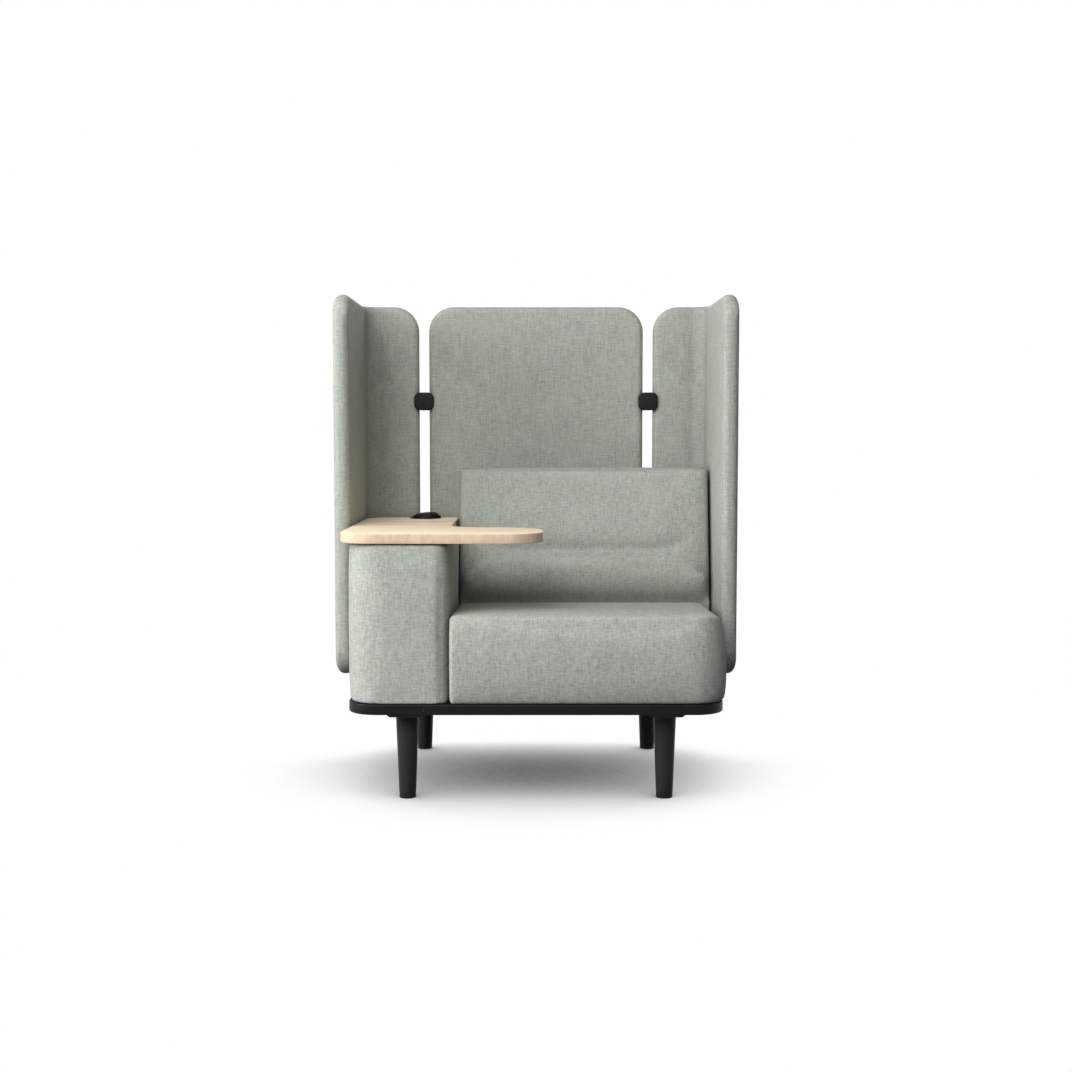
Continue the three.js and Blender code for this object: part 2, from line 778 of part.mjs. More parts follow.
function nutGeometry() {
  const top = tableBottom - seatGap;
  const ring = post(nutRadius, top - nutHeight, top, powerSides);
  const cutters = [post(sleeveRadius + boltClearance, top - nutHeight - overrun, top + overrun, powerSides)];
  for (let g = 0; g < nutGrips; g++) {
    const angle = g / nutGrips * 2 * Math.PI;
    cutters.push(post(
      nutGripRadius, top - nutHeight - overrun, top + overrun, boltSides,
      nutRadius * Math.cos(angle), nutRadius * Math.sin(angle),
    ));
  }
  return shaped([ring], cutters);
}

function insertGeometry() {
  const radius = sleeveRadius - sleeveWall - boltClearance;
  const top = -insertFloor + flangeThickness;
  const bodyRadius = radius - insertLedge;
  const cap = post(radius, top, top + insertCap, powerSides);
  const body = post(bodyRadius - seatGap, top - insertHeight, top, powerSides);
  const face = top + insertCap;
  const ports = [-1, 1].map((side) => {
    const x = side * portSpacing / 2;
    return block(
      x - portLength / 2, x + portLength / 2, portSetback - portHeight / 2, portSetback + portHeight / 2,
      face - portDepth, face + overrun,
    );
  });
  return shaped([cap, body], ports);
}

function inletGeometry() {
  const top = -insertFloor + flangeThickness - insertHeight - seatGap;
  const housing = block(-inletWidth / 2, inletWidth / 2, -inletDepth / 2, inletDepth / 2, top - inletHeight, top);
  const mouth = block(
    -inletWidth / 2 + inletWall, inletWidth / 2 - inletWall,
    inletDepth / 2 - inletHeight, inletDepth / 2 + overrun,
    top - inletHeight + inletWall, top - inletWall,
  );
  return shaped([housing], [mouth]);
}

// The lid's peak lies towards its hinge, so its free side slopes down to a finger rim.
const lidShares = [[1, 0], [0.99, 0.16], [0.93, 0.34], [0.8, 0.58], [0.6, 0.82], [0.36, 0.96], [0.12, 1]];

function lidRings(shrink) {
  return lidShares.map(([reach, rise]) => {
    const radius = (lidRadius - shrink) * reach;
    const shift = lidPeakShift * (1 - reach);
    const z = rise * (lidRise - shrink);
    const ring = [];
    for (let s = 0; s < powerSides; s++) {
      const angle = s / powerSides * 2 * Math.PI;
      ring.push(new THREE.Vector3(shift + radius * Math.cos(angle), radius * Math.sin(angle), z));
    }
    return ring;
  });
}

function lidGeometry() {
  const dome = lofted(lidRings(0));
  const hollow = lofted(lidRings(lidWall)).translate(0, 0, -seatGap);
  const clearFrom = knuckleLength / 2;
  const knuckle = new THREE.CylinderGeometry(knuckleRadius, knuckleRadius, knuckleLength, boltSides)
    .translate(hingeX, 0, hingeZ);
  const web = block(
    lidRadius - lidWall - overrun, hingeX, -clearFrom, clearFrom,
    hingeZ - knuckleRadius / 2, hingeZ + knuckleRadius,
  );
  const sweep = [-1, 1].map((side) => {
    const near = clearFrom;
    const far = knuckleLength / 2 + lugLength + seatGap + seatGap;
    const y0 = side > 0 ? near : -far;
    return block(
      hingeX - knuckleRadius - hingeClearance - hingeOffset, hingeX + overrun,
      y0, y0 + far - near, -overrun, lidRise,
    );
  });
  const holeRadius = hingePinRadius + pinClearance;
  const pinHole = new THREE.CylinderGeometry(holeRadius, holeRadius, knuckleLength + overrun, boltSides);
  pinHole.translate(hingeX, 0, hingeZ);
  const under = block(hingeX - knuckleRadius, hingeX + overrun, -lidRadius, lidRadius, -overrun, 0);
  return shaped([dome, web, knuckle], [hollow, ...sweep, pinHole, under]);
}

function addPowerUnit() {
  const unit = new THREE.Group();
  unit.position.set(powerX, powerY, tableTop + seatGap);
  chair.add(unit);
  addPiece('power_flange', flangeGeometry(), blackPlastic(), unit);
  addPiece('power_insert', insertGeometry(), blackPlastic(), unit);
  addPiece('power_inlet', inletGeometry(), blackPlastic(), unit);
  const nut = addPiece('power_ring_nut', nutGeometry(), blackPlastic());
  nut.position.set(powerX, powerY, 0);
  const lid = addPiece('power_lid', lidGeometry(), blackPlastic(), unit);
  lid.position.z = flangeThickness + seatGap;
  const pinLength = knuckleLength + 2 * lugLength;
  const pin = new THREE.CylinderGeometry(hingePinRadius, hingePinRadius, pinLength, boltSides);
  const axle = addPiece('power_lid_pin', welded(pin), steel(), unit);
  axle.position.set(hingeX, 0, hingeLevel);
}

// Back cushion: a leaning front face with a lumbar roll under a soft crease
function fadeAcross(x) {
  const edge = Math.min(x - backLeft, backRight - x);
  const share = THREE.MathUtils.clamp(edge / sideFade, 0, 1);
  return share * share * (3 - 2 * share);
}

function backFrontAt(x, z) {
  const seatLevel = seatTopAt(seatLength);
  const lean = backLean * Math.max(0, (z - seatLevel) / (backTop - seatLevel));
  const roll = lumbarDepth * Math.exp(-(((z - railTop - lumbarHeight) / lumbarSpread) ** 2));
  const crease = creaseDepth * Math.exp(-(((z - railTop - creaseHeight) / creaseSpread) ** 2));
  const free = THREE.MathUtils.clamp((z - seatLevel) / seatTopEdge, 0, 1);
  return seatLength + lean + free * fadeAcross(x) * (crease - roll);
}

const backRowShares = [0, 0.347, 0.38, 0.43, 0.49, 0.54, 0.575, 0.595, 0.61, 0.63, 0.68, 0.78, 0.9];
const backSpanShares = [0.05, 0.13, 0.25, 0.5, 0.75, 0.87, 0.95];

function backRing(x, inset) {
  const top = backTop - inset;
  const rear = backRear;
  const frontTop = top - backEdge;
  const ring = backRowShares.map((share) => {
    const z = clothBottom + share * (frontTop - clothBottom);
    return new THREE.Vector3(x, backFrontAt(x, z) + inset, z);
  });
  const edgeFront = backFrontAt(x, frontTop) + inset;
  for (let s = 0; s <= edgeSteps; s++) {
    const angle = s / edgeSteps * Math.PI / 2;
    ring.push(new THREE.Vector3(
      x, edgeFront + backEdge * (1 - Math.cos(angle)), frontTop + backEdge * Math.sin(angle),
    ));
  }
  ring.push(new THREE.Vector3(x, rear - backEdge, top));
  ring.push(new THREE.Vector3(x, rear, frontTop));
  ring.push(new THREE.Vector3(x, rear, clothBottom));
  return ring;
}

function backGeometry() {
  const rings = [];
  const endRing = (side, angle) => {
    const inset = backEdge * (1 - Math.sin(angle));
    const run = backEdge * (1 - Math.cos(angle));
    return backRing(side < 0 ? backLeft + run : backRight - run, inset);
  };
  for (let s = 0; s <= edgeSteps; s++) {
    rings.push(endRing(-1, s / edgeSteps * Math.PI / 2));
  }
  for (const share of backSpanShares) {
    rings.push(backRing(backLeft + share * (backRight - backLeft), 0));
  }
  for (let s = edgeSteps; s >= 0; s--) {
    rings.push(endRing(1, s / edgeSteps * Math.PI / 2));
  }
  return lofted(rings);
}

// Back board, uprights bolted to the rear rail, and the spacers that carry the middle screen
function addBackFrame() {
  const board = slab(
    roundedShape(
      backLeft + backBoardInset, backRight - backBoardInset, clothBottom + backBoardInset,
      backTop - backBoardInset, Array(4).fill(backBoardInset),
    ), 0, backBoard,
  ).rotateX(Math.PI / 2).translate(0, boardRear, 0);
  addPiece('back_board', welded(board), plywood());
  const footBottom = clothBottom;
  const front = boardRear + seatGap;
  const rear = front + uprightDepth;
  const names = { left: -1, right: 1 };
  for (const [name, side] of Object.entries(names)) {
    const x = side * uprightSpacing / 2;
    const top = footBottom + uprightHeight;
    const bar = block(x - uprightWidth / 2, x + uprightWidth / 2, front, rear, footBottom, top);
    const bore = block(
      x - uprightWidth / 2 + uprightWall, x + uprightWidth / 2 - uprightWall,
      front + uprightWall, rear - uprightWall, footBottom + uprightFootThickness, top + overrun,
    );
    const foot = slab(roundedShape(
      x - uprightFootWidth / 2, x + uprightFootWidth / 2, front, baseDepth - railEdge, Array(4).fill(railEdge),
    ), footBottom, footBottom + uprightFootThickness);
    addPiece(`upright_${name}`, shaped([bar, foot], [bore]), blackMetal());
    const length = screenFace - seatGap - rear - seatGap;
    const spacer = post(spacerRadius, 0, length, glideSides);
    const spacerHole = post(spacerHoleRadius, -overrun, length + overrun, boltSides);
    const piece = shaped([spacer], [spacerHole]).rotateX(-Math.PI / 2);
    piece.translate(x, rear + seatGap, railTop + spacerHeight);
    addPiece(`screen_spacer_${name}`, piece, blackPlastic());
  }
}

// Screens: a padded panel swept along a plan path, with rounded corners and edges
const crownRowShare = 0.1;      // how far up and down the crown sets in
const edgeReachShare = 0.86;    // most of the half thickness that a rounded edge takes

function screenStations(length, bends) {
  const stations = new Set();
  const rimShares = [0, 0.1, 0.3, 0.6, 1];
  for (const share of rimShares) {
    stations.add(screenEdge * share);
    stations.add(length - screenEdge * share);
  }
  const cornerShares = [0.45, 0.7, 1];
  for (const share of cornerShares) {
    stations.add(screenCornerRadius * share);
    stations.add(length - screenCornerRadius * share);
  }
  for (const bend of bends) {
    stations.add(bend);
  }
  return [...stations].sort((first, second) => first - second);
}

// How far a quarter circle stands back, at a distance in from where it starts.
function arcDrop(radius, distance) {
  return distance >= radius ? 0 : radius - Math.sqrt(radius ** 2 - (radius - distance) ** 2);
}

function screenRing(distance, length, frame) {
  const fromEnd = Math.min(distance, length - distance);
  const drop = arcDrop(screenCornerRadius, fromEnd);
  const pinch = arcDrop(screenEdge, fromEnd);
  const crown = fromEnd > screenCornerRadius ? screenCrown : 0;
  const halfThickness = screenThickness / 2 - screenCrown - pinch;
  const bottom = screenBottom + drop;
  const top = screenTop - drop;
  const reach = Math.min(screenEdge, halfThickness * edgeReachShare);
  const points = [];
  const put = (across, z) => {
    const at = frame.point.clone().addScaledVector(frame.normal, across);
    points.push(new THREE.Vector3(at.x, at.y, z));
  };
  const corner = (sideways, z, towards, reverse) => {
    for (let s = 0; s <= edgeSteps; s++) {
      const turn = (reverse ? edgeSteps - s : s) / edgeSteps * Math.PI / 2;
      const across = halfThickness - reach * (1 - Math.cos(turn));
      put(sideways * across, z + towards * reach * (1 - Math.sin(turn)));
    }
  };
  corner(1, bottom, 1, true);
  put(halfThickness + crown, bottom + (top - bottom) * crownRowShare);
  put(halfThickness + crown, bottom + (top - bottom) * (1 - crownRowShare));
  corner(1, top, -1, false);
  corner(-1, top, -1, true);
  put(-halfThickness - crown, bottom + (top - bottom) * (1 - crownRowShare));
  put(-halfThickness - crown, bottom + (top - bottom) * crownRowShare);
  corner(-1, bottom, 1, false);
  return points;
}

function straightFrame(start) {
  return (distance) => ({
    point: start.clone().add(new THREE.Vector2(distance, 0)),
    normal: new THREE.Vector2(0, -1),
  });
}

// Path of a corner screen: along the back, round the bend, forward along the side. side is -1 or 1.
function bentFrame(side) {
  const middle = screenFace + screenThickness / 2;
  const start = screenCentreWidth / 2 + screenGap;
  const bendStart = screenInner - screenBendRadius;
  const backRun = bendStart - start;
  const arcRun = screenMiddleRadius * Math.PI / 2;
  const centreY = screenFace - screenBendRadius;
  return (distance) => {
    if (distance <= backRun) {
      return {
        point: new THREE.Vector2(side * (start + distance), middle),
        normal: new THREE.Vector2(0, -1),
      };
    }
    const angle = Math.min((distance - backRun) / arcRun, 1) * Math.PI / 2;
    const outwards = new THREE.Vector2(side * Math.sin(angle), Math.cos(angle));
    const point = new THREE.Vector2(side * bendStart, centreY).addScaledVector(outwards, screenMiddleRadius);
    const past = Math.max(distance - backRun - arcRun, 0);
    point.y -= past;
    return { point, normal: outwards.negate() };
  };
}

function bentLengths() {
  const backRun = screenInner - screenBendRadius - screenCentreWidth / 2 - screenGap;
  const arcRun = screenMiddleRadius * Math.PI / 2;
  const sideRun = screenFace - screenBendRadius - screenFront;
  return { backRun, arcRun, total: backRun + arcRun + sideRun };
}

function addScreens() {
  const start = new THREE.Vector2(-screenCentreWidth / 2, screenFace + screenThickness / 2);
  const straight = straightFrame(start);
  const flatRings = screenStations(screenCentreWidth, []).map(
    (distance) => screenRing(distance, screenCentreWidth, straight(distance)),
  );
  addPiece('screen_centre', lofted(flatRings), cloth());
  const { backRun, arcRun, total } = bentLengths();
  const bendSteps = 8;
  const bends = Array.from({ length: bendSteps + 1 }, (unused, step) => backRun + arcRun * step / bendSteps);
  for (const [name, side] of Object.entries({ left: -1, right: 1 })) {
    const along = bentFrame(side);
    const rings = screenStations(total, bends).map((distance) => screenRing(distance, total, along(distance)));
    addPiece(`screen_${name}`, lofted(rings), cloth());
  }
}

// Clips: a front plate with a web through the gap, a rear plate, and two screws
function clipPlate(y0) {
  const outline = roundedShape(
    -clipWidth / 2, clipWidth / 2, -clipHeight / 2, clipHeight / 2, Array(4).fill(clipCorner),
  );
  return slab(outline, 0, clipThickness, clipEdge).rotateX(Math.PI / 2).translate(0, y0 + clipThickness, 0);
}

function alongY(radius, y0, y1, z, sides = boltSides) {
  return new THREE.CylinderGeometry(radius, radius, y1 - y0, sides).translate(0, (y0 + y1) / 2, z);
}

function addClips() {
  const frontFace = screenFace - seatGap - clipThickness;
  const webRear = screenRear + seatGap;
  const rearFace = clipRearFace;
  const webHalf = screenGap / 2 - clipWebClearance;
  const screwZ = [-clipScrewSpacing / 2, clipScrewSpacing / 2];
  const shankFront = rearFace - clipScrewHeadHeight - clipScrewLength;
  for (const [name, side] of Object.entries({ left: -1, right: 1 })) {
    const place = new THREE.Group();
    place.position.set(side * clipX, 0, clipLevel);
    chair.add(place);
    const web = block(
      -webHalf, webHalf, frontFace + clipThickness - clipEdge, webRear, -clipWebHeight / 2, clipWebHeight / 2,
    );
    const bores = screwZ.map((z) => alongY(
      clipScrewRadius + boltClearance, shankFront - seatGap, webRear + overrun, z,
    ));
    addPiece(`clip_${name}_front`, shaped([clipPlate(frontFace), web], bores), blackPlastic(), place);
    const holes = screwZ.flatMap((z) => [
      alongY(clipScrewRadius + boltClearance, webRear, rearFace + overrun, z),
      alongY(clipScrewHead + boltClearance, rearFace - clipScrewHeadHeight - seatGap, rearFace + overrun, z),
    ]);
    addPiece(`clip_${name}_rear`, shaped([clipPlate(webRear + seatGap)], holes), blackPlastic(), place);
    const ends = { lower: screwZ[0], upper: screwZ[1] };
    for (const [end, z] of Object.entries(ends)) {
      const screw = shaped([
        alongY(clipScrewRadius, shankFront, rearFace - clipScrewHeadHeight, z),
        alongY(clipScrewHead, rearFace - clipScrewHeadHeight, rearFace, z),
      ], [alongY(clipScrewRadius / 2, rearFace - clipScrewHeadHeight / 2, rearFace + overrun, z, socketSides)]);
      addPiece(`clip_${name}_screw_${end}`, screw, steel(), place);
    }
  }
}

// Straps: bent steel from under the rail, out and up along the inner face of each screen
function strapGeometry() {
  const outer = screenClearance - seatGap;
  const bottom = railBottom - seatGap - strapThickness;
  const shape = new THREE.Shape();
  shape.moveTo(-strapInnerReach, bottom);
  shape.lineTo(outer - strapBend, bottom);
  shape.absarc(outer - strapBend, bottom + strapBend, strapBend, -Math.PI / 2, 0, false);
  shape.lineTo(outer, bottom + strapRise);
  shape.lineTo(outer - strapThickness, bottom + strapRise);
  shape.lineTo(outer - strapThickness, bottom + strapThickness);
  shape.lineTo(-strapInnerReach, bottom + strapThickness);
  shape.closePath();
  const body = new THREE.ExtrudeGeometry(shape, {
    depth: strapWidth, bevelEnabled: false, curveSegments: edgeSteps,
  });
  body.translate(0, 0, -strapWidth / 2);
  // The profile lies in x and z, so the extrusion is turned to run along y.
  body.rotateX(Math.PI / 2);
  return body;
}

function strapBoltGeometry() {
  const headTop = railBottom - seatGap - strapThickness - seatGap;
  const shankTop = railBottom + railWall + strapNut;
  return turned([
    [0, headTop - strapBoltHeadHeight],
    [strapBoltHead, headTop - strapBoltHeadHeight],
    [strapBoltHead, headTop],
    [strapBoltRadius, headTop],
    [strapBoltRadius, shankTop],
    [0, shankTop],
  ], boltSides);
}

function addStraps() {
  const boltX = -railDepth / 2;
  const hole = post(
    strapBoltRadius + boltClearance, railBottom - strapThickness - overrun, railBottom + overrun, boltSides, boltX,
  );
  for (const [name, [side, y]] of Object.entries(strapPlaces)) {
    const place = new THREE.Group();
    place.position.set(side * halfBase, y, 0);
    place.rotation.z = side > 0 ? 0 : Math.PI;
    chair.add(place);
    addPiece(`screen_strap_${name}`, shaped([strapGeometry()], [hole]), blackMetal(), place);
    const bolt = addPiece(`strap_bolt_${name}`, strapBoltGeometry(), steel(), place);
    bolt.position.x = boltX;
  }
}

addRails();
addLegs();
addDeck();
addPiece('seat_cushion', seatGeometry(), cloth());
addPiece('arm_jacket', armJacketGeometry(), cloth());
addPiece('arm_carcass', carcassGeometry(), plywood());
addPiece('table_mount_plate', mountPlateGeometry(), blackMetal());
addPiece('tabletop', tableGeometry(), birch());
addPowerUnit();
addPiece('back_cushion', backGeometry(), cloth());
addBackFrame();
addScreens();
addClips();
addStraps();

export default chair;
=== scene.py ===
# Acoustic high-back lounge chair: cloth, birch and black metal over the fixed frame. Metres, +Z up.
import math
import bmesh
import bpy
import numpy as np
from mathutils import Matrix, Vector, noise


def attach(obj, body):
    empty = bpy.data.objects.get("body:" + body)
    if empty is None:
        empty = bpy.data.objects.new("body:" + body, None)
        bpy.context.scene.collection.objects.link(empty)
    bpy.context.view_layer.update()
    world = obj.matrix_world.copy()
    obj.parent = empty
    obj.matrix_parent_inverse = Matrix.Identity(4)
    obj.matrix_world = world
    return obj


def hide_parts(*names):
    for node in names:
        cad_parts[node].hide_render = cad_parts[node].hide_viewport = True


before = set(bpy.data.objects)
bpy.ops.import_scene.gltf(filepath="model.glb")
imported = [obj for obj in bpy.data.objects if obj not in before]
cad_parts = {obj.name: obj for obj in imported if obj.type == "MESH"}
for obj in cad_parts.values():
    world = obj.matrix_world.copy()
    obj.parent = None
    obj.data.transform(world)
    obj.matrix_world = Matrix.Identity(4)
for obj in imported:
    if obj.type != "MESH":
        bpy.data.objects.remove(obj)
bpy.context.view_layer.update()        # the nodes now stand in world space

baseFront = -0.3793      # y of the front of the base rail
sharpEdge = 35           # degrees from which an edge of the hard parts is drawn sharp
scene = bpy.context.scene
scene.view_settings.view_transform = "Standard"


class Wire:
    # one shader socket, so that maths on it reads as a sum
    def __init__(self, finish, socket):
        self.finish = finish
        self.socket = socket

    def maths(self, operation, other=None, swap=False):
        pair = [self] if other is None else [other, self] if swap else [self, other]
        return self.finish.add("ShaderNodeMath", {"operation": operation}, dict(enumerate(pair)))

    def output(self, name):
        return Wire(self.finish, self.socket.node.outputs[name])

    def __add__(self, other):
        return self.maths("ADD", other)

    def __radd__(self, other):
        return self.maths("ADD", other, True)

    def __sub__(self, other):
        return self.maths("SUBTRACT", other)

    def __rsub__(self, other):
        return self.maths("SUBTRACT", other, True)

    def __mul__(self, other):
        return self.maths("MULTIPLY", other)

    def __rmul__(self, other):
        return self.maths("MULTIPLY", other, True)

    def __gt__(self, other):
        return self.maths("GREATER_THAN", other)

class Finish:
    # a material, or the world, built node by node
    def __init__(self, name, kind="materials"):
        self.owner = getattr(bpy.data, kind).new(name)
        self.owner.use_nodes = True
        self.tree = self.owner.node_tree
        self.tree.nodes.clear()

    def add(self, kind, settings=None, sockets=None, output=0):
        node = self.tree.nodes.new(kind)
        for key, value in (settings or {}).items():
            setattr(node, key, value)
        for key, value in (sockets or {}).items():
            if isinstance(value, Wire):
                self.tree.links.new(value.socket, node.inputs[key])
            else:
                node.inputs[key].default_value = value
        return Wire(self, node.outputs[output]) if len(node.outputs) else None

    def place(self):
        return self.add("ShaderNodeTexCoord", output="Object")

    def split(self, vector):
        x = self.add("ShaderNodeSeparateXYZ", sockets={0: vector})
        return x, x.output("Y"), x.output("Z")

    def vector(self, x, y, z=0.0):
        return self.add("ShaderNodeCombineXYZ", sockets={0: x, 1: y, 2: z})

    def noise(self, vector, scale=1.0, detail=2.0, rough=0.5):
        sockets = {"Vector": vector, "Scale": scale, "Detail": detail, "Roughness": rough}
        return self.add("ShaderNodeTexNoise", {}, sockets)

    def ramp(self, value, low, high, start=0.0, end=1.0):
        sockets = {0: value, 1: low, 2: high, 3: start, 4: end}
        return self.add("ShaderNodeMapRange", {"interpolation_type": "SMOOTHSTEP"}, sockets)

    def blend(self, factor, first, second):
        return self.add("ShaderNodeMix", {"data_type": "RGBA"}, {0: factor, 6: first, 7: second}, 2)

    def bump(self, height, strength, distance):
        return self.add("ShaderNodeBump", {}, {"Height": height, "Strength": strength, "Distance": distance})

    def seen(self):
        # 1 for what the camera sees, also by way of a shine or through glass
        path = ray = self.add("ShaderNodeLightPath", output="Is Camera Ray")
        for kind in ("Is Glossy Ray", "Is Transmission Ray"):
            ray = ray.maths("MAXIMUM", path.output(kind))
        return ray

    def surface(self, sockets):
        shader = self.add("ShaderNodeBsdfPrincipled", {}, sockets)
        self.add("ShaderNodeOutputMaterial", {}, {"Surface": shader})
        return self.owner


def paint(red, green, blue):
    # a screen colour, 0 to 255, as the shader wants it
    shares = [c / 255 for c in (red, green, blue)]
    return (*[c / 12.92 if c < 0.04045 else ((c + 0.055) / 1.055) ** 2.4 for c in shares], 1.0)


# ---- camera, floor and studio light
shot = {"place": (0, -3.8993, 0.8886), "pitch": 86, "lens": 50, "sensor": 36}
studio = {
    "world": 0.07, "aim": (0, 0, 0.7),
    # the floor values below shape the painted floor shadow
    "floorBlack": 0.07, "floorWhite": 0.76, "floorBehind": 0.52, "floorFade": 0.35, "floorHalf": 14,
    "shadowReach": 0.6,
    "lamps": {
        "front": {"turn": -19, "rise": 36, "far": 4.0, "size": 2.8, "power": 138},
        "side": {"turn": -70, "rise": 13, "far": 4.0, "size": 2.8, "power": 168},
        "fill": {"turn": 50, "rise": 35, "far": 4.0, "size": 2.8, "power": 10},
        "rear": {"turn": 165, "rise": 30, "far": 4.0, "size": 3.0, "power": 50},
    },
}


def setCamera():
    camera = bpy.data.cameras.new("camera")
    camera.lens = shot["lens"]
    camera.sensor_width = shot["sensor"]
    holder = bpy.data.objects.new("camera", camera)
    holder.location = shot["place"]
    holder.rotation_euler = (math.radians(shot["pitch"]), 0, 0)
    scene.collection.objects.link(holder)
    scene.camera = holder


def addLamp(name, turn, rise, far, size, power):
    # turn in degrees from the front towards the right, rise above level
    lamp = bpy.data.lights.new(name, "AREA")
    lamp.shape = "DISK"
    lamp.size = size
    lamp.energy = power
    holder = bpy.data.objects.new(name, lamp)
    turn, rise = math.radians(turn), math.radians(rise)
    away = Vector((math.sin(turn) * math.cos(rise), -math.cos(turn) * math.cos(rise), math.sin(rise)))
    holder.location = Vector(studio["aim"]) + far * away
    holder.rotation_euler = away.to_track_quat("Z", "Y").to_euler()
    scene.collection.objects.link(holder)
    # the lamps leave the floor out; the shadow the camera sees on it is painted in from ambient occlusion,
    # straight below the chair
    spared = bpy.data.collections.new(name + "Spares")
    spared.objects.link(bpy.data.objects["floor"])
    spared.collection_objects[0].light_linking.link_state = "EXCLUDE"
    holder.light_linking.receiver_collection = spared


def addFloor():
    # the camera sees glowing white paper with the chair's shadow painted in: darkened, from ambient occlusion, by
    # how much of the room the chair hides from it
    finish = Finish("floor")
    clear = finish.add("ShaderNodeAmbientOcclusion", {"samples": 16}, {"Distance": studio["shadowReach"]}, "AO")
    behind = finish.split(finish.place())[1]
    # painted shadow: kept lighter behind the chair
    white = finish.ramp(behind, 0.0, studio["floorFade"], studio["floorWhite"], studio["floorBehind"])
    paintedShade = finish.add("ShaderNodeMapRange", {}, {0: clear, 1: studio["floorBlack"], 2: white})
    withPaintedShade = finish.blend(paintedShade, (0, 0, 0, 1), (1, 1, 1, 1))
    paper = finish.add("ShaderNodeEmission", {}, {"Color": withPaintedShade, "Strength": 1.0})
    grain = finish.noise(finish.place(), 4.0)
    greys = finish.blend(grain, (0.79, 0.79, 0.79, 1), (0.81, 0.81, 0.81, 1))
    matt = finish.add("ShaderNodeBsdfDiffuse", {}, {"Color": greys})
    mixed = finish.add("ShaderNodeMixShader", {}, {0: finish.seen(), 1: matt, 2: paper})
    finish.add("ShaderNodeOutputMaterial", {}, {"Surface": mixed})
    far = studio["floorHalf"]
    floor = makePiece("floor", [(-far, -far, 0), (far, -far, 0), (far, far, 0), (-far, far, 0)], [(0, 1, 2, 3)])
    floor.data.materials.append(finish.owner)


def addStudio():
    room = Finish("studio", "worlds")
    strength = room.add("ShaderNodeMapRange", {}, {0: room.seen(), 3: studio["world"], 4: 1.0})
    light = room.add("ShaderNodeBackground", {}, {"Color": (1, 1, 1, 1), "Strength": strength})
    room.add("ShaderNodeOutputWorld", {}, {"Surface": light})
    scene.world = room.owner
    addFloor()
    for name, values in studio["lamps"].items():
        addLamp(name, **values)


# ---- mesh helpers
def pieceFrom(name, shell, mesh, sharp=None):
    # the shell fills the mesh, smooth but for edges sharper than so many degrees
    shell.to_mesh(mesh)
    shell.free()
    mesh.shade_smooth()
    if sharp:
        mesh.set_sharp_from_angle(angle=math.radians(sharp))
    piece = bpy.data.objects.new(name, mesh)
    scene.collection.objects.link(piece)
    return piece


def makePiece(name, points, faces, sharp=None):
    mesh = bpy.data.meshes.new(name)
    mesh.from_pydata([tuple(p) for p in points], [], faces)
    shell = bmesh.new()
    shell.from_mesh(mesh)
    bmesh.ops.recalc_face_normals(shell, faces=shell.faces)
    return pieceFrom(name, shell, mesh, sharp)


def loft(name, rings, joined=False, sharp=None):
    # rings of equally many points, skinned in order; capped at both ends unless the last joins the first
    count = len(rings[0])
    faces = []
    for r in range(len(rings) if joined else len(rings) - 1):
        n = (r + 1) % len(rings)
        for p in range(count):
            q = (p + 1) % count
            faces.append((r * count + p, r * count + q, n * count + q, n * count + p))
    if not joined:
        faces += [tuple(range(count)), tuple(range((len(rings) - 1) * count, len(rings) * count))]
    return makePiece(name, [p for ring in rings for p in ring], faces, sharp)


def arcDrop(radius, distance):
    # how far a rounded edge has fallen at this distance from its end
    return 0.0 if distance >= radius else radius - math.sqrt(max(radius ** 2 - (radius - distance) ** 2, 0))


def quarter(steps):
    return [s / steps * math.pi / 2 for s in range(steps + 1)]


def rounding(radius, steps):
    # a rounded edge step by step: how far in it has come, and how far it still has to rise
    return [(radius * (1 - math.cos(a)), radius * (1 - math.sin(a))) for a in quarter(steps)]


def planOutline(left, right, front, rear, radii, inset=0.0, steps=14, sides=24):
    # plan points from the front left corner round to the rear left, each corner with its own radius
    corners = (
        (left, front, 1, 1, 2), (right, front, -1, 1, 3),
        (right, rear, -1, -1, 0), (left, rear, 1, -1, 1),
    )
    arcs = []
    for (x, y, toX, toY, turn), full in zip(corners, radii):
        radius = max(full - inset, full * 0.2)
        cx, cy = x + toX * (inset + radius), y + toY * (inset + radius)
        angles = [(turn + s / steps) * math.pi / 2 for s in range(steps + 1)]
        arcs.append([(cx + radius * math.cos(a), cy + radius * math.sin(a)) for a in angles])
    points = []
    for arc, after in zip(arcs, arcs[1:] + arcs[:1]):
        points += arc
        (x0, y0), (x1, y1) = arc[-1], after[0]
        points += [(x0 + (x1 - x0) * s / sides, y0 + (y1 - y0) * s / sides) for s in range(1, sides)]
    return points


def eased(corners, steps=4):
    # a profile of (across, along, rounding) corners, each rounded over its own length
    points = []
    for before, (a, b, soft), after in zip(corners[:1] + corners[:-1], corners, corners[1:] + corners[-1:]):
        here = Vector((a, b))
        if not soft:
            points.append((a, b))
            continue
        start = here + (Vector(before[:2]) - here).normalized() * soft
        end = here + (Vector(after[:2]) - here).normalized() * soft
        for s in range(steps + 1):
            share = s / steps
            points.append(tuple(start.lerp(here, share).lerp(here.lerp(end, share), share)))
    return points


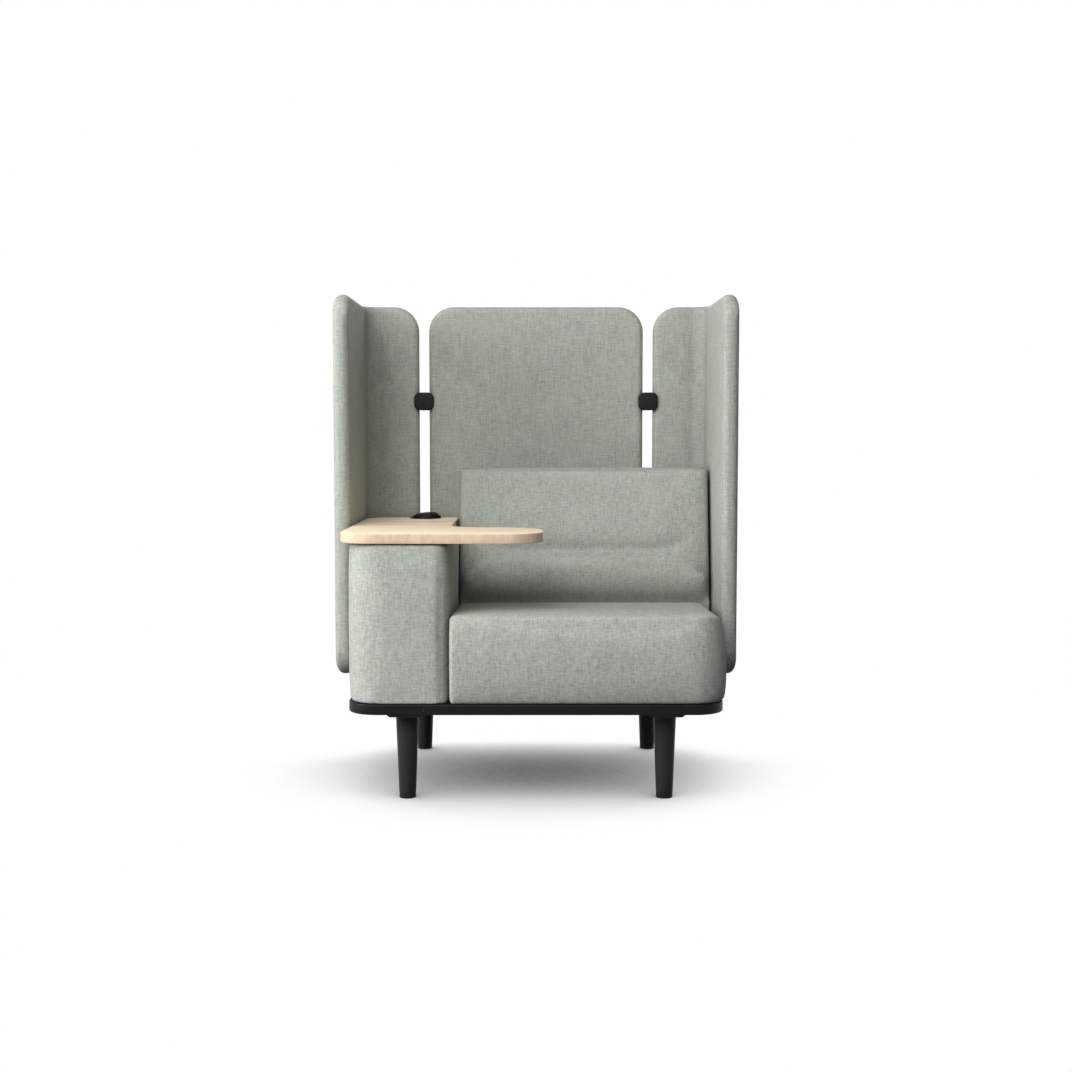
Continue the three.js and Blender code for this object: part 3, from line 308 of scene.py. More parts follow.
def turned(name, profile, centre, sides=64, hollow=False, axis="z"):
    # the profile's (radius, height) points go round the axis; it starts and ends on the axis unless hollow
    spots, faces = [], []
    angles = [s / sides * 2 * math.pi for s in range(sides)]
    rows = []
    for radius, height in profile:
        rows.append(range(len(spots), len(spots) + (1 if radius == 0 else sides)))
        spots += [(radius * math.cos(a), radius * math.sin(a), height) for a in angles[:len(rows[-1])]]
    for row, after in zip(rows, rows[1:] + rows[:1] if hollow else rows[1:]):
        for s in range(sides):
            n = (s + 1) % sides
            corners = [row[s % len(row)], row[n % len(row)], after[n % len(after)], after[s % len(after)]]
            corners = list(dict.fromkeys(corners))
            if len(corners) > 2:
                faces.append(corners)
    x0, y0, z0 = centre
    if axis == "y":
        spots = [(x, h, -y) for x, y, h in spots]
    return makePiece(name, [(x + x0, y + y0, z + z0) for x, y, z in spots], faces, sharpEdge)


def merged(name, pieces):
    shell = bmesh.new()
    for piece in pieces:
        shell.from_mesh(piece.data)
        bpy.data.objects.remove(piece)
    return pieceFrom(name, shell, bpy.data.meshes.new(name), sharpEdge)


def bake(piece):
    # what the modifiers make becomes the mesh
    graph = bpy.context.evaluated_depsgraph_get()
    mesh = bpy.data.meshes.new_from_object(piece.evaluated_get(graph))
    piece.modifiers.clear()
    piece.data = mesh
    mesh.shade_smooth()


def coordinates(mesh):
    flat = np.empty(len(mesh.vertices) * 3)
    mesh.vertices.foreach_get("co", flat)
    return flat.reshape(-1, 3)


def modify(piece, kind, settings):
    modifier = piece.modifiers.new(kind.lower(), kind)
    for key, value in settings.items():
        setattr(modifier, key, value)
    return modifier


def puff(piece, padding, holdAt):
    # voxel remesh, then a short cloth run under pressure that takes no point further than its reach
    modify(piece, "REMESH", {"mode": "VOXEL", "voxel_size": padding["voxel"]})
    bake(piece)
    modify(piece, "SMOOTH", {"factor": 0.5, "iterations": padding["even"]})
    bake(piece)
    start = coordinates(piece.data)
    held = piece.vertex_groups.new(name="held")
    reach = np.array([holdAt(Vector(p)) for p in start])
    held.add([int(i) for i in np.nonzero(reach <= 0)[0]], 1.0, "REPLACE")
    cloth = modify(piece, "CLOTH", {}).settings
    for key, value in padding["cloth"].items():
        setattr(cloth, key, value)
    cloth.use_pressure = True
    cloth.effector_weights.gravity = 0
    cloth.vertex_group_mass = "held"
    for step in range(1, padding["frames"] + 1):
        scene.frame_set(step)
    bake(piece)
    scene.frame_set(1)
    moved = coordinates(piece.data) - start
    far = np.linalg.norm(moved, axis=1)
    cap = np.clip(reach, 0, None)
    scale = cap * np.tanh(far / np.maximum(cap, 1e-6)) / np.maximum(far, 1e-9)
    piece.data.vertices.foreach_set("co", (start + moved * scale[:, None]).ravel())
    print(piece.name, "puffed, most", round(float((far * scale).max()) * 1000, 1), "mm")
    modify(piece, "SMOOTH", {"factor": 0.5, "iterations": padding["ease"]})
    modify(piece, "SUBSURF", {"levels": 1})
    bake(piece)


# a face lies flat, or looks sideways, when this much of its normal does; a flat one takes its weave further on
flatFrom, sideFrom, flatShift = 0.72, 0.75, 0.31


def weaveByPlan(piece, outline):
    # weave coordinates in metres: round the plan outline and up, or x and y where the cloth lies flat
    points = np.array(outline)
    lengths = np.linalg.norm(np.roll(points, -1, 0) - points, axis=1)
    along = np.concatenate([[0], np.cumsum(lengths)])
    mesh = piece.data
    where = coordinates(mesh)
    around = np.empty(len(where))
    ends = np.roll(points, -1, 0)
    spans = ends - points
    block = 4000        # points taken at a time, to spare memory
    for first in range(0, len(where), block):
        part = where[first:first + block, None, :2]
        share = np.clip(((part - points) * spans).sum(2) / np.maximum((spans ** 2).sum(1), 1e-12), 0, 1)
        gap = np.linalg.norm(part - points - share[..., None] * spans, axis=2)
        best = gap.argmin(1)
        rows = np.arange(len(best))
        around[first:first + block] = along[best] + share[rows, best] * lengths[best]
    sheet = mesh.uv_layers.new(name="weave")
    whole = along[-1]
    for face in mesh.polygons:
        flat = abs(face.normal.z) > flatFrom
        spots = [around[v] for v in face.vertices]
        wrap = max(spots) - min(spots) > whole / 2
        for loop, vertex, s in zip(face.loop_indices, face.vertices, spots):
            x, y, z = where[vertex]
            if flat:
                sheet.data[loop].uv = (x, y + flatShift)
            else:
                sheet.data[loop].uv = (s + whole if wrap and s < whole / 2 else s, z)


def weaveByBox(piece):
    # weave coordinates in metres, taken from the side that each face looks towards
    mesh = piece.data
    sheet = mesh.uv_layers.new(name="weave")
    for face in mesh.polygons:
        n = face.normal
        for loop, vertex in zip(face.loop_indices, face.vertices):
            x, y, z = mesh.vertices[vertex].co
            if abs(n.x) > sideFrom:
                sheet.data[loop].uv = (y, z)
            else:
                sheet.data[loop].uv = (x, y + flatShift) if abs(n.z) > flatFrom else (x, z)


def dress(piece, material, nodes=(), body="chair"):
    piece.data.materials.clear()
    piece.data.materials.append(material)
    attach(piece, body)
    if nodes:
        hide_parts(*nodes)


# ---- cloth
seatWool = {
    "name": "seatWool", "light": paint(209, 214, 205), "dark": paint(124, 129, 121),
    "warm": paint(174, 165, 150), "cool": paint(152, 166, 160), "warmth": 0.3,
    "pitch": 0.0017, "slub": (46.0, 300.0), "yarn": (90.0, 620.0), "spread": (0.23, 0.77), "relief": 0.00035,
    # the shade colour and the fold and gap entries set the painted shade in the wool's creases and narrow gaps
    "cloud": 16, "patch": (19, 24), "paintedShade": paint(52, 54, 50),
    "foldShade": {"reach": 0.08, "deep": 0.3}, "gap": {"reach": 0.04, "deep": 0.28},
}
# the back and the screens paint deeper shade into their gaps, the screens also into their folds
backWool = dict(
    seatWool, name="backWool", light=paint(200, 205, 196), dark=paint(121, 126, 118), spread=(0.2, 0.8),
    gap={"reach": 0.06, "deep": 0.34})
screenWool = dict(
    seatWool, name="screenWool", light=paint(196, 201, 192), slub=(30.0, 300.0),
    foldShade={"reach": 0.12, "deep": 0.6}, gap={"reach": 0.03, "deep": 0.5})


def clothFinish(look):
    # plain weave of mottled yarn: each spot shows the thread that lies on top there
    finish = Finish(look["name"])
    along, up, _ = finish.split(finish.add("ShaderNodeUVMap", {"uv_map": "weave"}))

    def thread(run, across, offset):
        slub = finish.noise(finish.vector(run * look["slub"][0], across * look["slub"][1], offset))
        yarn = finish.noise(finish.vector(run * look["yarn"][0], across * look["yarn"][1], offset + 3.1))
        return 0.55 * slub + 0.45 * yarn

    weft, warp = thread(along, up, 0.0), thread(up, along, 5.7)
    a = (along * (math.pi / look["pitch"])).maths("SINE")
    b = (up * (math.pi / look["pitch"])).maths("SINE")
    over = (a * b) > 0.0
    across, upright = a * a, b * b
    relief = over * upright * (0.45 + 0.55 * across) + (1 - over) * across * (0.45 + 0.55 * upright)
    tone = over * weft + (1 - over) * warp
    cloud = finish.noise(finish.vector(along * look["cloud"], up * look["cloud"], 1.3), 1.0, 2.0)
    low, high = look["spread"]
    yarns = finish.blend(finish.ramp(tone + 0.1 * (cloud - 0.5), low, high), look["dark"], look["light"])
    tint = finish.noise(finish.vector(along * look["patch"][0], up * look["patch"][1], 8.1), 1.0, 3.0, 0.6)
    warmed = finish.blend(finish.ramp(tint, 0.5, 0.78, 0.0, look["warmth"]), yarns, look["warm"])
    cooled = finish.blend(finish.ramp(tint, 0.5, 0.24, 0.0, look["warmth"]), warmed, look["cool"])
    # painted shade: the colour is darker where a thread dips under its neighbour
    withPaintedShade = finish.blend(finish.ramp(relief, 0.0, 0.5, 0.22, 0.0), cooled, look["dark"])
    # painted shade: ambient occlusion darkens the wool's colour deep in its own folds and in the narrow gaps
    # between pieces
    creaseShadePainted = withPaintedShade
    for place, own in (("foldShade", True), ("gap", False)):
        settings = {"samples": 5, "only_local": own}
        room = finish.add("ShaderNodeAmbientOcclusion", settings, {"Distance": look[place]["reach"]}, "AO")
        creaseShadePainted = finish.blend(finish.ramp(room, 0.35, 0.95, look[place]["deep"], 0.0), creaseShadePainted, look["paintedShade"])
    return finish.surface({
        "Base Color": creaseShadePainted, "Roughness": finish.ramp(tone, 0.3, 0.7, 0.95, 0.84),
        "Specular IOR Level": 0.2, "Sheen Weight": 0.06, "Sheen Roughness": 0.45,
        "Normal": finish.bump(relief, 0.35, look["relief"]),
    })


# ---- wood
birchLook = {
    "light": paint(255, 243, 219), "dark": paint(241, 216, 184), "stave": 0.071,
    "edgeLight": paint(228, 205, 177), "edgeDark": paint(204, 176, 146),
    "waves": (3.2, 85, 40), "fibre": (30, 1100, 1100), "ends": (75, 75, 20), "pores": (500, 500, 160),
}
plyLook = {"face": paint(214, 186, 146), "line": paint(150, 112, 74), "ply": 0.0013}
stainedLook = dict(plyLook, face=paint(46, 42, 40), line=paint(30, 27, 26))


def birchFinish():
    finish = Finish("birch")
    x, y, z = finish.split(finish.place())

    def grain(scales, detail, rough, shift=None):
        across, along, high = birchLook[scales]
        start = x * across if shift is None else x * across + shift
        return finish.noise(finish.vector(start, y * along, z * high), 1.0, detail, rough)

    up = finish.add("ShaderNodeNewGeometry", output="Normal")
    level = finish.split(up)[2].maths("ABSOLUTE") > 0.6
    stave = (y * (1 / birchLook["stave"])).maths("FLOOR")
    tint = finish.add("ShaderNodeTexWhiteNoise", {"noise_dimensions": "1D"}, {"W": stave})
    waves = grain("waves", 3.0, 0.55, stave * 1.7)
    fibre = grain("fibre", 2.0, 0.5)
    top = 0.5 * waves + 0.22 * fibre + 0.17 * tint
    edge = 0.6 * grain("ends", 3.0, 0.6) + 0.3 * grain("pores", 2.0, 0.5)
    board = finish.blend(finish.ramp(top, 0.32, 0.6), birchLook["dark"], birchLook["light"])
    rim = finish.blend(finish.ramp(edge, 0.25, 0.68), birchLook["edgeDark"], birchLook["edgeLight"])
    colour = finish.blend(level, rim, board)
    return finish.surface({
        "Base Color": colour, "Roughness": 0.5 + 0.16 * fibre, "Specular IOR Level": 0.45,
        "Normal": finish.bump(fibre, 0.12, 0.0002),
    })


def plyFinish(name, direction, look):
    # direction is the one that runs through the layers
    finish = Finish(name)
    x, y, z = finish.split(finish.place())
    through = {"x": x, "y": y, "z": z}[direction]
    facing = finish.split(finish.add("ShaderNodeNewGeometry", output="Normal"))
    flat = facing["xyz".index(direction)].maths("ABSOLUTE") > 0.6
    across, along, high = (5, 70, 70) if direction == "z" else (70, 70, 5)
    grain = finish.noise(finish.vector(x * across, y * along, z * high), 1.0, 3.0, 0.6)
    layers = (through * (math.pi / look["ply"])).maths("SINE").maths("ABSOLUTE")
    mask = flat * finish.ramp(grain, 0.3, 0.75) * 0.45 + (1 - flat) * finish.ramp(layers, 0.25, 0.6, 0.75, 0.1)
    return finish.surface({
        "Base Color": finish.blend(mask, look["face"], look["line"]), "Roughness": 0.6 + 0.2 * grain,
        "Specular IOR Level": 0.3, "Normal": finish.bump(grain, 0.15, 0.0003),
    })


# ---- metal and plastic
def blackFinish(name, colour, worn, rough, grain, depth, shine=0.16):
    finish = Finish(name)
    place = finish.place()
    speck = finish.noise(place, grain, 2.0, 0.6)
    smear = finish.noise(place, 9.0, 3.0, 0.6)
    return finish.surface({
        "Base Color": finish.blend(finish.ramp(smear, 0.35, 0.8), colour, worn),
        "Roughness": rough + 0.16 * (smear - 0.5) + 0.08 * (speck - 0.5),
        "Specular IOR Level": shine, "Normal": finish.bump(speck, 0.25, depth),
    })


def steelFinish():
    finish = Finish("zincSteel")
    place = finish.place()
    spangle = finish.add("ShaderNodeTexVoronoi", {}, {"Vector": place, "Scale": 420.0}, "Distance")
    fine = finish.noise(place, 1800.0)
    return finish.surface({
        "Base Color": finish.blend(spangle, paint(186, 188, 190), paint(150, 152, 155)), "Metallic": 1.0,
        "Roughness": 0.3 + 0.14 * fine, "Normal": finish.bump(fine, 0.1, 0.0001),
    })


setCamera()
addStudio()
print("studio ready")

cloth = clothFinish(seatWool)
backCloth = clothFinish(backWool)
screenCloth = clothFinish(screenWool)
birch = birchFinish()
railBlack = blackFinish("railBlack", paint(14, 14, 15), paint(19, 19, 20), 0.42, 2600.0, 0.0001, 0.13)
legBlack = blackFinish("legBlack", paint(42, 42, 43), paint(48, 48, 49), 0.42, 1500.0, 0.00006, 0.08)
plastic = blackFinish("blackPlastic", paint(18, 18, 19), paint(23, 23, 24), 0.5, 3400.0, 0.00012)
steel = steelFinish()
plyBoards = {
    "deck_board": plyFinish("deckPly", "z", stainedLook), "back_board": plyFinish("backPly", "y", stainedLook),
    "arm_carcass": plyFinish("armPly", "y", plyLook),
}
print("finishes ready")


# ---- seat cushion
foam = {
    "voxel": 0.006, "even": 2, "ease": 3, "frames": 16,
    "cloth": {
        "quality": 4, "mass": 0.35, "tension_stiffness": 14, "compression_stiffness": 14,
        "bending_stiffness": 1.5, "uniform_pressure_force": 3.0,
    },
}
seat = {
    "left": -0.2075, "right": 0.45, "front": 0.001, "rear": 0.486, "bottom": 0.2388, "top": 0.4515,
    "rake": 0.023, "rakeRun": 0.47, "edge": 0.008, "shoulder": (0.027, 0.009), "crown": 0.004,
    "sideBulge": 0.0116, "frontBulge": 0.013, "radii": (0.009, 0.075, 0.012, 0.012),
    "side": ((0, 0.47), (0.03, 0.7), (0.11, 0.92), (0.29, 0.98), (0.46, 1), (0.65, 0.87), (0.8, 0.65), (1, 0.3)),
    "face": ((0, 0), (0.04, 0.3), (0.12, 0.6), (0.24, 0.84), (0.36, 0.96), (0.46, 1), (0.58, 0.97), (0.7, 0.86),
             (0.82, 0.66), (0.92, 0.4), (1, 0.08)),
    "padding": foam, "reach": 0.0024, "held": 0.012, "heldRear": 0.02, "fade": 0.06, "fadeRear": 0.05,
}


def seatTop(x, y):
    # the right shoulder of the cushion falls away in a round, broadest at the front
    rim = seat["right"] + seat["side"][-1][1] * seat["sideBulge"]
    shoulder = float(np.interp(y - baseFront, (seat["front"], seat["rear"]), seat["shoulder"]))
    raked = seat["rake"] * (y - baseFront) / seat["rakeRun"]
    return seat["top"] - raked - arcDrop(shoulder, max(rim - x, 0))


def makeSeat():
    front, rear = baseFront + seat["front"], baseFront + seat["rear"]

    def ring(share, inset):
        side, face = (np.interp(share, *zip(*seat[key])) for key in ("side", "face"))
        return planOutline(
            seat["left"] + inset, seat["right"] + side * seat["sideBulge"] - inset,
            front - face * seat["frontBulge"] + inset, rear - inset, seat["radii"])

    rings = []
    for step in range(33):
        share = step / 32
        plan = [(x, y, seatTop(x, y) - seat["edge"] - seat["bottom"]) for x, y in ring(share, 0)]
        rings.append([(x, y, seat["bottom"] + share * tall) for x, y, tall in plan])
    for inset, drop in rounding(seat["edge"], 7)[1:]:
        rings.append([(x, y, seatTop(x, y) - drop) for x, y in ring(1, inset)])
    midX, midY = (seat["left"] + seat["right"]) / 2, (front + rear) / 2
    rim = rings[-1]
    for share in [1 - s / 14 for s in range(1, 14)]:
        flat = [(midX + (x - midX) * share, midY + (y - midY) * share) for x, y, z in rim]
        rings.append([(x, y, seatTop(x, y) + seat["crown"] * (1 - share * share)) for x, y in flat])
    piece = loft("seatCushion", rings)

    def reach(p):
        low, near, far = p.z - seat["bottom"], p.x - seat["left"], rear - p.y
        if min(low, near) < seat["held"] or far < seat["heldRear"]:
            return 0.0
        return seat["reach"] * min(1, low / seat["fade"], near / seat["fade"], far / seat["fadeRear"])

    puff(piece, seat["padding"], reach)
    weaveByPlan(piece, ring(0.5, 0))
    dress(piece, cloth, ["seat_cushion"])
    print("seat cushion made")


makeSeat()


# ---- arm jacket
arm = {
    "left": -0.45, "right": -0.21, "front": 0.001, "rear": 0.589, "bottom": 0.2388, "top": 0.6235,
    "padding": 0.022, "bulge": 0.004, "edge": 0.0015, "radii": (0.075, 0.03, 0.015, 0.03),
    "profile": ((0, 0), (0.04, 0.5), (0.15, 0.9), (0.5, 1), (0.85, 0.8), (1, 0.4)),
    "sewing": dict(foam, even=1, ease=1, cloth=dict(
        foam["cloth"], tension_stiffness=15, compression_stiffness=15, uniform_pressure_force=2.5)),
    "reach": 0.0022, "shell": 0.014, "held": 0.01, "fade": 0.05, "beside": 0.012, "besideShare": 0.4,
}


def makeArm():
    front, rear = baseFront + arm["front"], baseFront + arm["rear"]
    shares, bulges = zip(*arm["profile"])

    def ring(bulge, inset):
        return planOutline(
            arm["left"] - bulge * arm["bulge"] + inset, arm["right"] - inset,
            front + inset, rear - inset, arm["radii"])

    rings = []
    for step in range(41):
        share = step / 40
        z = arm["bottom"] + share * (arm["top"] - arm["edge"] - arm["bottom"])
        rings.append([(x, y, z) for x, y in ring(np.interp(share, shares, bulges), 0)])
    for inset, drop in rounding(arm["edge"], 5)[1:]:
        rings.append([(x, y, arm["top"] - drop) for x, y in ring(bulges[-1], inset)])
    inner = planOutline(arm["left"], arm["right"], front, rear, arm["radii"], arm["padding"])
    rings.append([(x, y, arm["top"]) for x, y in inner])
    rings.append([(x, y, arm["bottom"]) for x, y in inner])
    piece = loft("armJacket", rings, joined=True)

    def reach(p):
        inside = min(p.x - arm["left"], arm["right"] - p.x, p.y - front, rear - p.y)
        low, high = p.z - arm["bottom"], arm["top"] - p.z
        if inside > arm["shell"] or min(low, high) < arm["held"]:
            return 0.0
        near = arm["besideShare"] if arm["right"] - p.x < arm["beside"] else 1.0
        return arm["reach"] * near * min(1, low / arm["fade"], high / arm["fade"])

    puff(piece, arm["sewing"], reach)
    weaveByPlan(piece, ring(1, 0))
    dress(piece, cloth, ["arm_jacket"])
    print("arm jacket made")


makeArm()


# ---- back cushion
back = {
    "left": -0.2074, "right": 0.4695, "rear": 0.641, "bottom": 0.2388, "top": 0.7875,
    "footHigh": 0.4285, "foot": 0.478, "head": 0.545, "edge": 0.008, "lift": 0.09,
    "crease": 0.572, "creaseReach": 0.045, "fadeHigh": (0.5, 0.56), "fade": (0.012, 0.15),
    "roll": ((0.4285, 0.4895), (0.445, 0.4815), (0.465, 0.4740), (0.49, 0.4683), (0.515, 0.4662),
             (0.532, 0.4675), (0.545, 0.4735), (0.555, 0.4840), (0.563, 0.4955), (0.570, 0.5012),
             (0.578, 0.5002), (0.590, 0.4984), (0.605, 0.5000), (0.63, 0.5055), (0.66, 0.5125),
             (0.70, 0.5235), (0.75, 0.5365), (0.7875, 0.545)),
    "padding": dict(foam, voxel=0.007, even=1, ease=2),
    "reach": 0.004, "held": 0.01, "heldRear": 0.02, "easeIn": 0.05,
}


def backFront(x, z):
    # the lumbar roll dies out into the plain leaning face at both sides, its crease turning up as it goes
    width = float(np.interp(z, back["fadeHigh"], back["fade"]))
    side = min(max(min(x - back["left"], back["right"] - x) / width, 0), 1)
    lowered = z - back["lift"] * (1 - side) ** 2

    def plain(height):
        share = min(max((height - back["footHigh"]) / (back["top"] - back["footHigh"]), 0), 1)
        return back["foot"] + (back["head"] - back["foot"]) * share

    rolled = sum(np.interp(lowered + shift, *zip(*back["roll"])) for shift in (-0.003, 0, 0.003)) / 3
    return baseFront + plain(z) + side * side * (3 - 2 * side) * (rolled - plain(lowered))


def makeBack():
    rear = baseFront + back["rear"]
    edge = back["edge"]
    turns = quarter(6)

    def ring(x, inset):
        top = back["top"] - inset
        rows = [back["bottom"] + s / 90 * (top - edge - back["bottom"]) for s in range(91)]
        points = [(x, backFront(x, z) + inset, z) for z in rows]
        start = points[-1]
        points += [(x, start[1] + edge * (1 - math.cos(a)), start[2] + edge * math.sin(a)) for a in turns[1:]]
        points += [(x, rear - edge * (1 - math.sin(a)), top - edge * (1 - math.cos(a))) for a in turns]
        points += [(x, rear, back["bottom"] + (top - edge - back["bottom"]) * (1 - s / 6)) for s in range(1, 7)]
        return points

    rings = [ring(back["left"] + along, inset) for along, inset in rounding(edge, 6)]
    span = back["right"] - back["left"] - 2 * edge
    rings += [ring(back["left"] + edge + s / 80 * span, 0) for s in range(1, 80)]
    rings += [ring(back["right"] - along, inset) for along, inset in reversed(rounding(edge, 6))]
    piece = loft("backCushion", rings)

    def reach(p):
        beside = min(p.x - back["left"], back["right"] - p.x)
        above, far = p.z - seat["top"] + back["held"], rear - p.y
        if above < 0 or far < back["heldRear"] or beside < back["held"]:
            return 0.0
        sewn = min(1, abs(p.z - back["crease"]) / back["creaseReach"])
        return back["reach"] * sewn * min(1, above / back["easeIn"], far / back["easeIn"])

    puff(piece, back["padding"], reach)
    weaveByBox(piece)
    dress(piece, backCloth, ["back_cushion"])
    print("back cushion made")


makeBack()


# ---- padded screens
screens = {
    "inner": 0.476, "face": 0.716, "thick": 0.042, "bottom": 0.258, "top": 1.241, "corner": 0.071,
    "edge": 0.017, "bend": 0.040, "gap": 0.0285, "width": 0.606, "front": 0.280,
    "crown": 0.0012, "crownReach": 0.09, "uneven": 0.0007, "unevenReach": 0.03,
    "endSteps": (0, 0.02, 0.07, 0.15, 0.26, 0.4, 0.56, 0.74, 0.9, 1),
    "cornerSteps": (0.3, 0.36, 0.43, 0.5, 0.58, 0.68, 0.8, 0.9, 1),
    "spacing": 0.011,
}


def screenStations(length):
    # where along the screen its rings stand: close together at the rounded ends, even between them
    ends = [screens["edge"] * s for s in screens["endSteps"]]
    ends += [screens["corner"] * s for s in screens["cornerSteps"]]
    middle = length - 2 * screens["corner"]
    steps = max(1, round(middle / screens["spacing"]))
    run = [screens["corner"] + middle * s / steps for s in range(1, steps)]
    return sorted(ends + run + [length - e for e in ends])


def screenRing(distance, length, spot, seed):
    # one upright ring of the screen, up one face and down the other, and the weave place of each point
    half = screens["thick"] / 2
    fromEnd = min(distance, length - distance)
    drop = arcDrop(screens["corner"], fromEnd)
    halfHere = half - screens["crown"] - arcDrop(screens["edge"], fromEnd)
    bottom, top = screens["bottom"] + drop, screens["top"] - drop
    reach = min(screens["edge"], halfHere * 0.9)
    point, normal = spot(distance)
    edges = [(halfHere - inward, inset) for inward, inset in rounding(reach, 7)]
    ring, marks = [], []

    def put(across, z):
        depth = min(fromEnd, z - bottom, top - z)
        swell = screens["crown"] * min(max(depth / screens["crownReach"], 0), 1) ** 0.7
        ripple = noise.noise(Vector((distance * 7 + seed, z * 6, across * 9))) * screens["uneven"]
        ripple *= min(max(depth / screens["unevenReach"], 0), 1)
        out = across + math.copysign(swell + ripple, across) * (abs(across) > halfHere - 0.0005)
        ring.append((point.x + normal.x * out, point.y + normal.y * out, z))
        marks.append((distance, across, z))

    for sign, rising in ((1, True), (-1, False)):
        ends = [(across, bottom + inset) for across, inset in reversed(edges)]
        rows = [bottom + reach + (top - bottom - 2 * reach) * s / 80 for s in range(1, 80)]
        tops = [(across, top - inset) for across, inset in edges]
        column = ends + [(halfHere, z) for z in rows] + tops
        for across, z in column if rising else reversed(column):
            put(sign * across, z)
    return ring, marks


def weaveByMarks(piece, marks):
    # weave coordinates from each point's distance along the screen, place across it and height
    mesh = piece.data
    sheet = mesh.uv_layers.new(name="weave")
    for face in mesh.polygons:
        spots = [marks[v] for v in face.vertices]
        spread = [max(c) - min(c) for c in zip(*spots)]
        thin = spread.index(min(spread))
        for loop, (s, t, z) in zip(face.loop_indices, spots):
            sheet.data[loop].uv = {0: (t, z), 1: (s + 1.7 * (t < 0), z), 2: (s, t)}[thin]


def makeScreen(name, node, length, spot, seed):
    rings, marks = [], []
    for distance in screenStations(length):
        ring, ringMarks = screenRing(distance, length, spot, seed)
        rings.append(ring)
        marks += ringMarks
    piece = loft(name, rings)
    weaveByMarks(piece, marks)
    dress(piece, screenCloth, [node])
    print(name, "made")


def centreSpot(distance):
    middle = baseFront + screens["face"] + screens["thick"] / 2
    return Vector((distance - screens["width"] / 2, middle)), Vector((0, -1))


def cornerSpot(side):
    # along the back, round the bend, then forward along the side
    middle = baseFront + screens["face"] + screens["thick"] / 2
    start = screens["width"] / 2 + screens["gap"]
    bendStart = screens["inner"] - screens["bend"]
    radius = screens["bend"] + screens["thick"] / 2
    backRun, arcRun = bendStart - start, radius * math.pi / 2

    def spot(distance):
        if distance <= backRun:
            return Vector((side * (start + distance), middle)), Vector((0, -1))
        angle = min((distance - backRun) / arcRun, 1) * math.pi / 2
        out = Vector((side * math.sin(angle), math.cos(angle)))
        centre = Vector((side * bendStart, middle - radius))
        return centre + out * radius - Vector((0, max(distance - backRun - arcRun, 0))), -out

    sideRun = screens["face"] - screens["bend"] - screens["front"]
    return spot, backRun + arcRun + sideRun


makeScreen("centreScreen", "screen_centre", screens["width"], centreSpot, 0.0)
for side, name, node in ((-1, "leftScreen", "screen_left"), (1, "rightScreen", "screen_right")):
    spot, length = cornerSpot(side)
    makeScreen(name, node, length, spot, 20.0 * side)


# ---- table
table = {
    "left": -0.4735, "right": -0.218, "front": -0.004, "back": 0.698, "top": 0.6475, "thick": 0.0237,
    "edge": 0.0015, "outer": 0.082, "inner": 0.014, "hole": 0.04, "holeAt": (-0.309, 0.645),
    "tip": 0.017, "tongue": 0.252, "tongueFront": 0.084, "tongueRear": 0.114, "fillet": 0.08,
}


def arc(cx, cy, radius, start, end, steps=28):
    angles = [start + (end - start) * s / steps for s in range(steps + 1)]
    return [(cx + radius * math.cos(a), cy + radius * math.sin(a)) for a in angles]


def makeTable():
    t = table
    front, rear = baseFront + t["front"], baseFront + t["back"]
    tongue = baseFront + t["front"] + t["tongue"]
    q = math.pi / 2
    edge = arc(t["left"] + t["outer"], front + t["outer"], t["outer"], 2 * q, 3 * q)
    edge += arc(t["tip"] - t["tongueFront"], front + t["tongueFront"], t["tongueFront"], -q, 0)
    edge += arc(t["tip"] - t["tongueRear"], tongue - t["tongueRear"], t["tongueRear"], 0, q)
    edge += arc(t["right"] + t["fillet"], tongue + t["fillet"], t["fillet"], -q, -2 * q)
    edge += arc(t["right"] - t["inner"], rear - t["inner"], t["inner"], 0, q)
    edge += arc(t["left"] + t["outer"], rear - t["outer"], t["outer"], q, 2 * q)
    hole = arc(t["holeAt"][0], baseFront + t["holeAt"][1], t["hole"], 0, 4 * q, 64)[:-1]
    curve = bpy.data.curves.new("tableBoard", "CURVE")
    curve.dimensions = "2D"
    curve.fill_mode = "BOTH"
    curve.extrude = t["thick"] / 2 - t["edge"]
    curve.bevel_depth = t["edge"]
    curve.bevel_resolution = 3
    curve.offset = -t["edge"]
    for points in (edge, hole):
        spline = curve.splines.new("POLY")
        spline.points.add(len(points) - 1)
        for point, (x, y) in zip(spline.points, points):
            point.co = (x, y, 0, 1)
        spline.use_cyclic_u = True
    shape = bpy.data.objects.new("tableShape", curve)
    scene.collection.objects.link(shape)
    graph = bpy.context.evaluated_depsgraph_get()
    mesh = bpy.data.meshes.new_from_object(shape.evaluated_get(graph))
    bpy.data.objects.remove(shape)
    mesh.transform(Matrix.Translation((0, 0, t["top"] - t["thick"] / 2)))
    shell = bmesh.new()
    shell.from_mesh(mesh)
    bmesh.ops.remove_doubles(shell, verts=shell.verts, dist=0.00001)
    bmesh.ops.recalc_face_normals(shell, faces=shell.faces)
    piece = pieceFrom("tableBoard", shell, mesh, 40)
    dress(piece, birch, ["tabletop"])
    print("table made")


makeTable()


# ---- legs and levelling glides
leg = {
    "across": 0.313, "front": 0.062, "rear": 0.628, "bottom": 0.0123, "length": 0.1944,
    "top": 0.0277, "foot": 0.0206, "edge": 0.0018,
    "stud": 0.005, "studLength": 0.018, "bore": 0.0043, "boreDepth": 0.033,
}
glide = {"radius": 0.0202, "edge": 0.002, "height": 0.012, "stem": 0.004, "stemLength": 0.032}


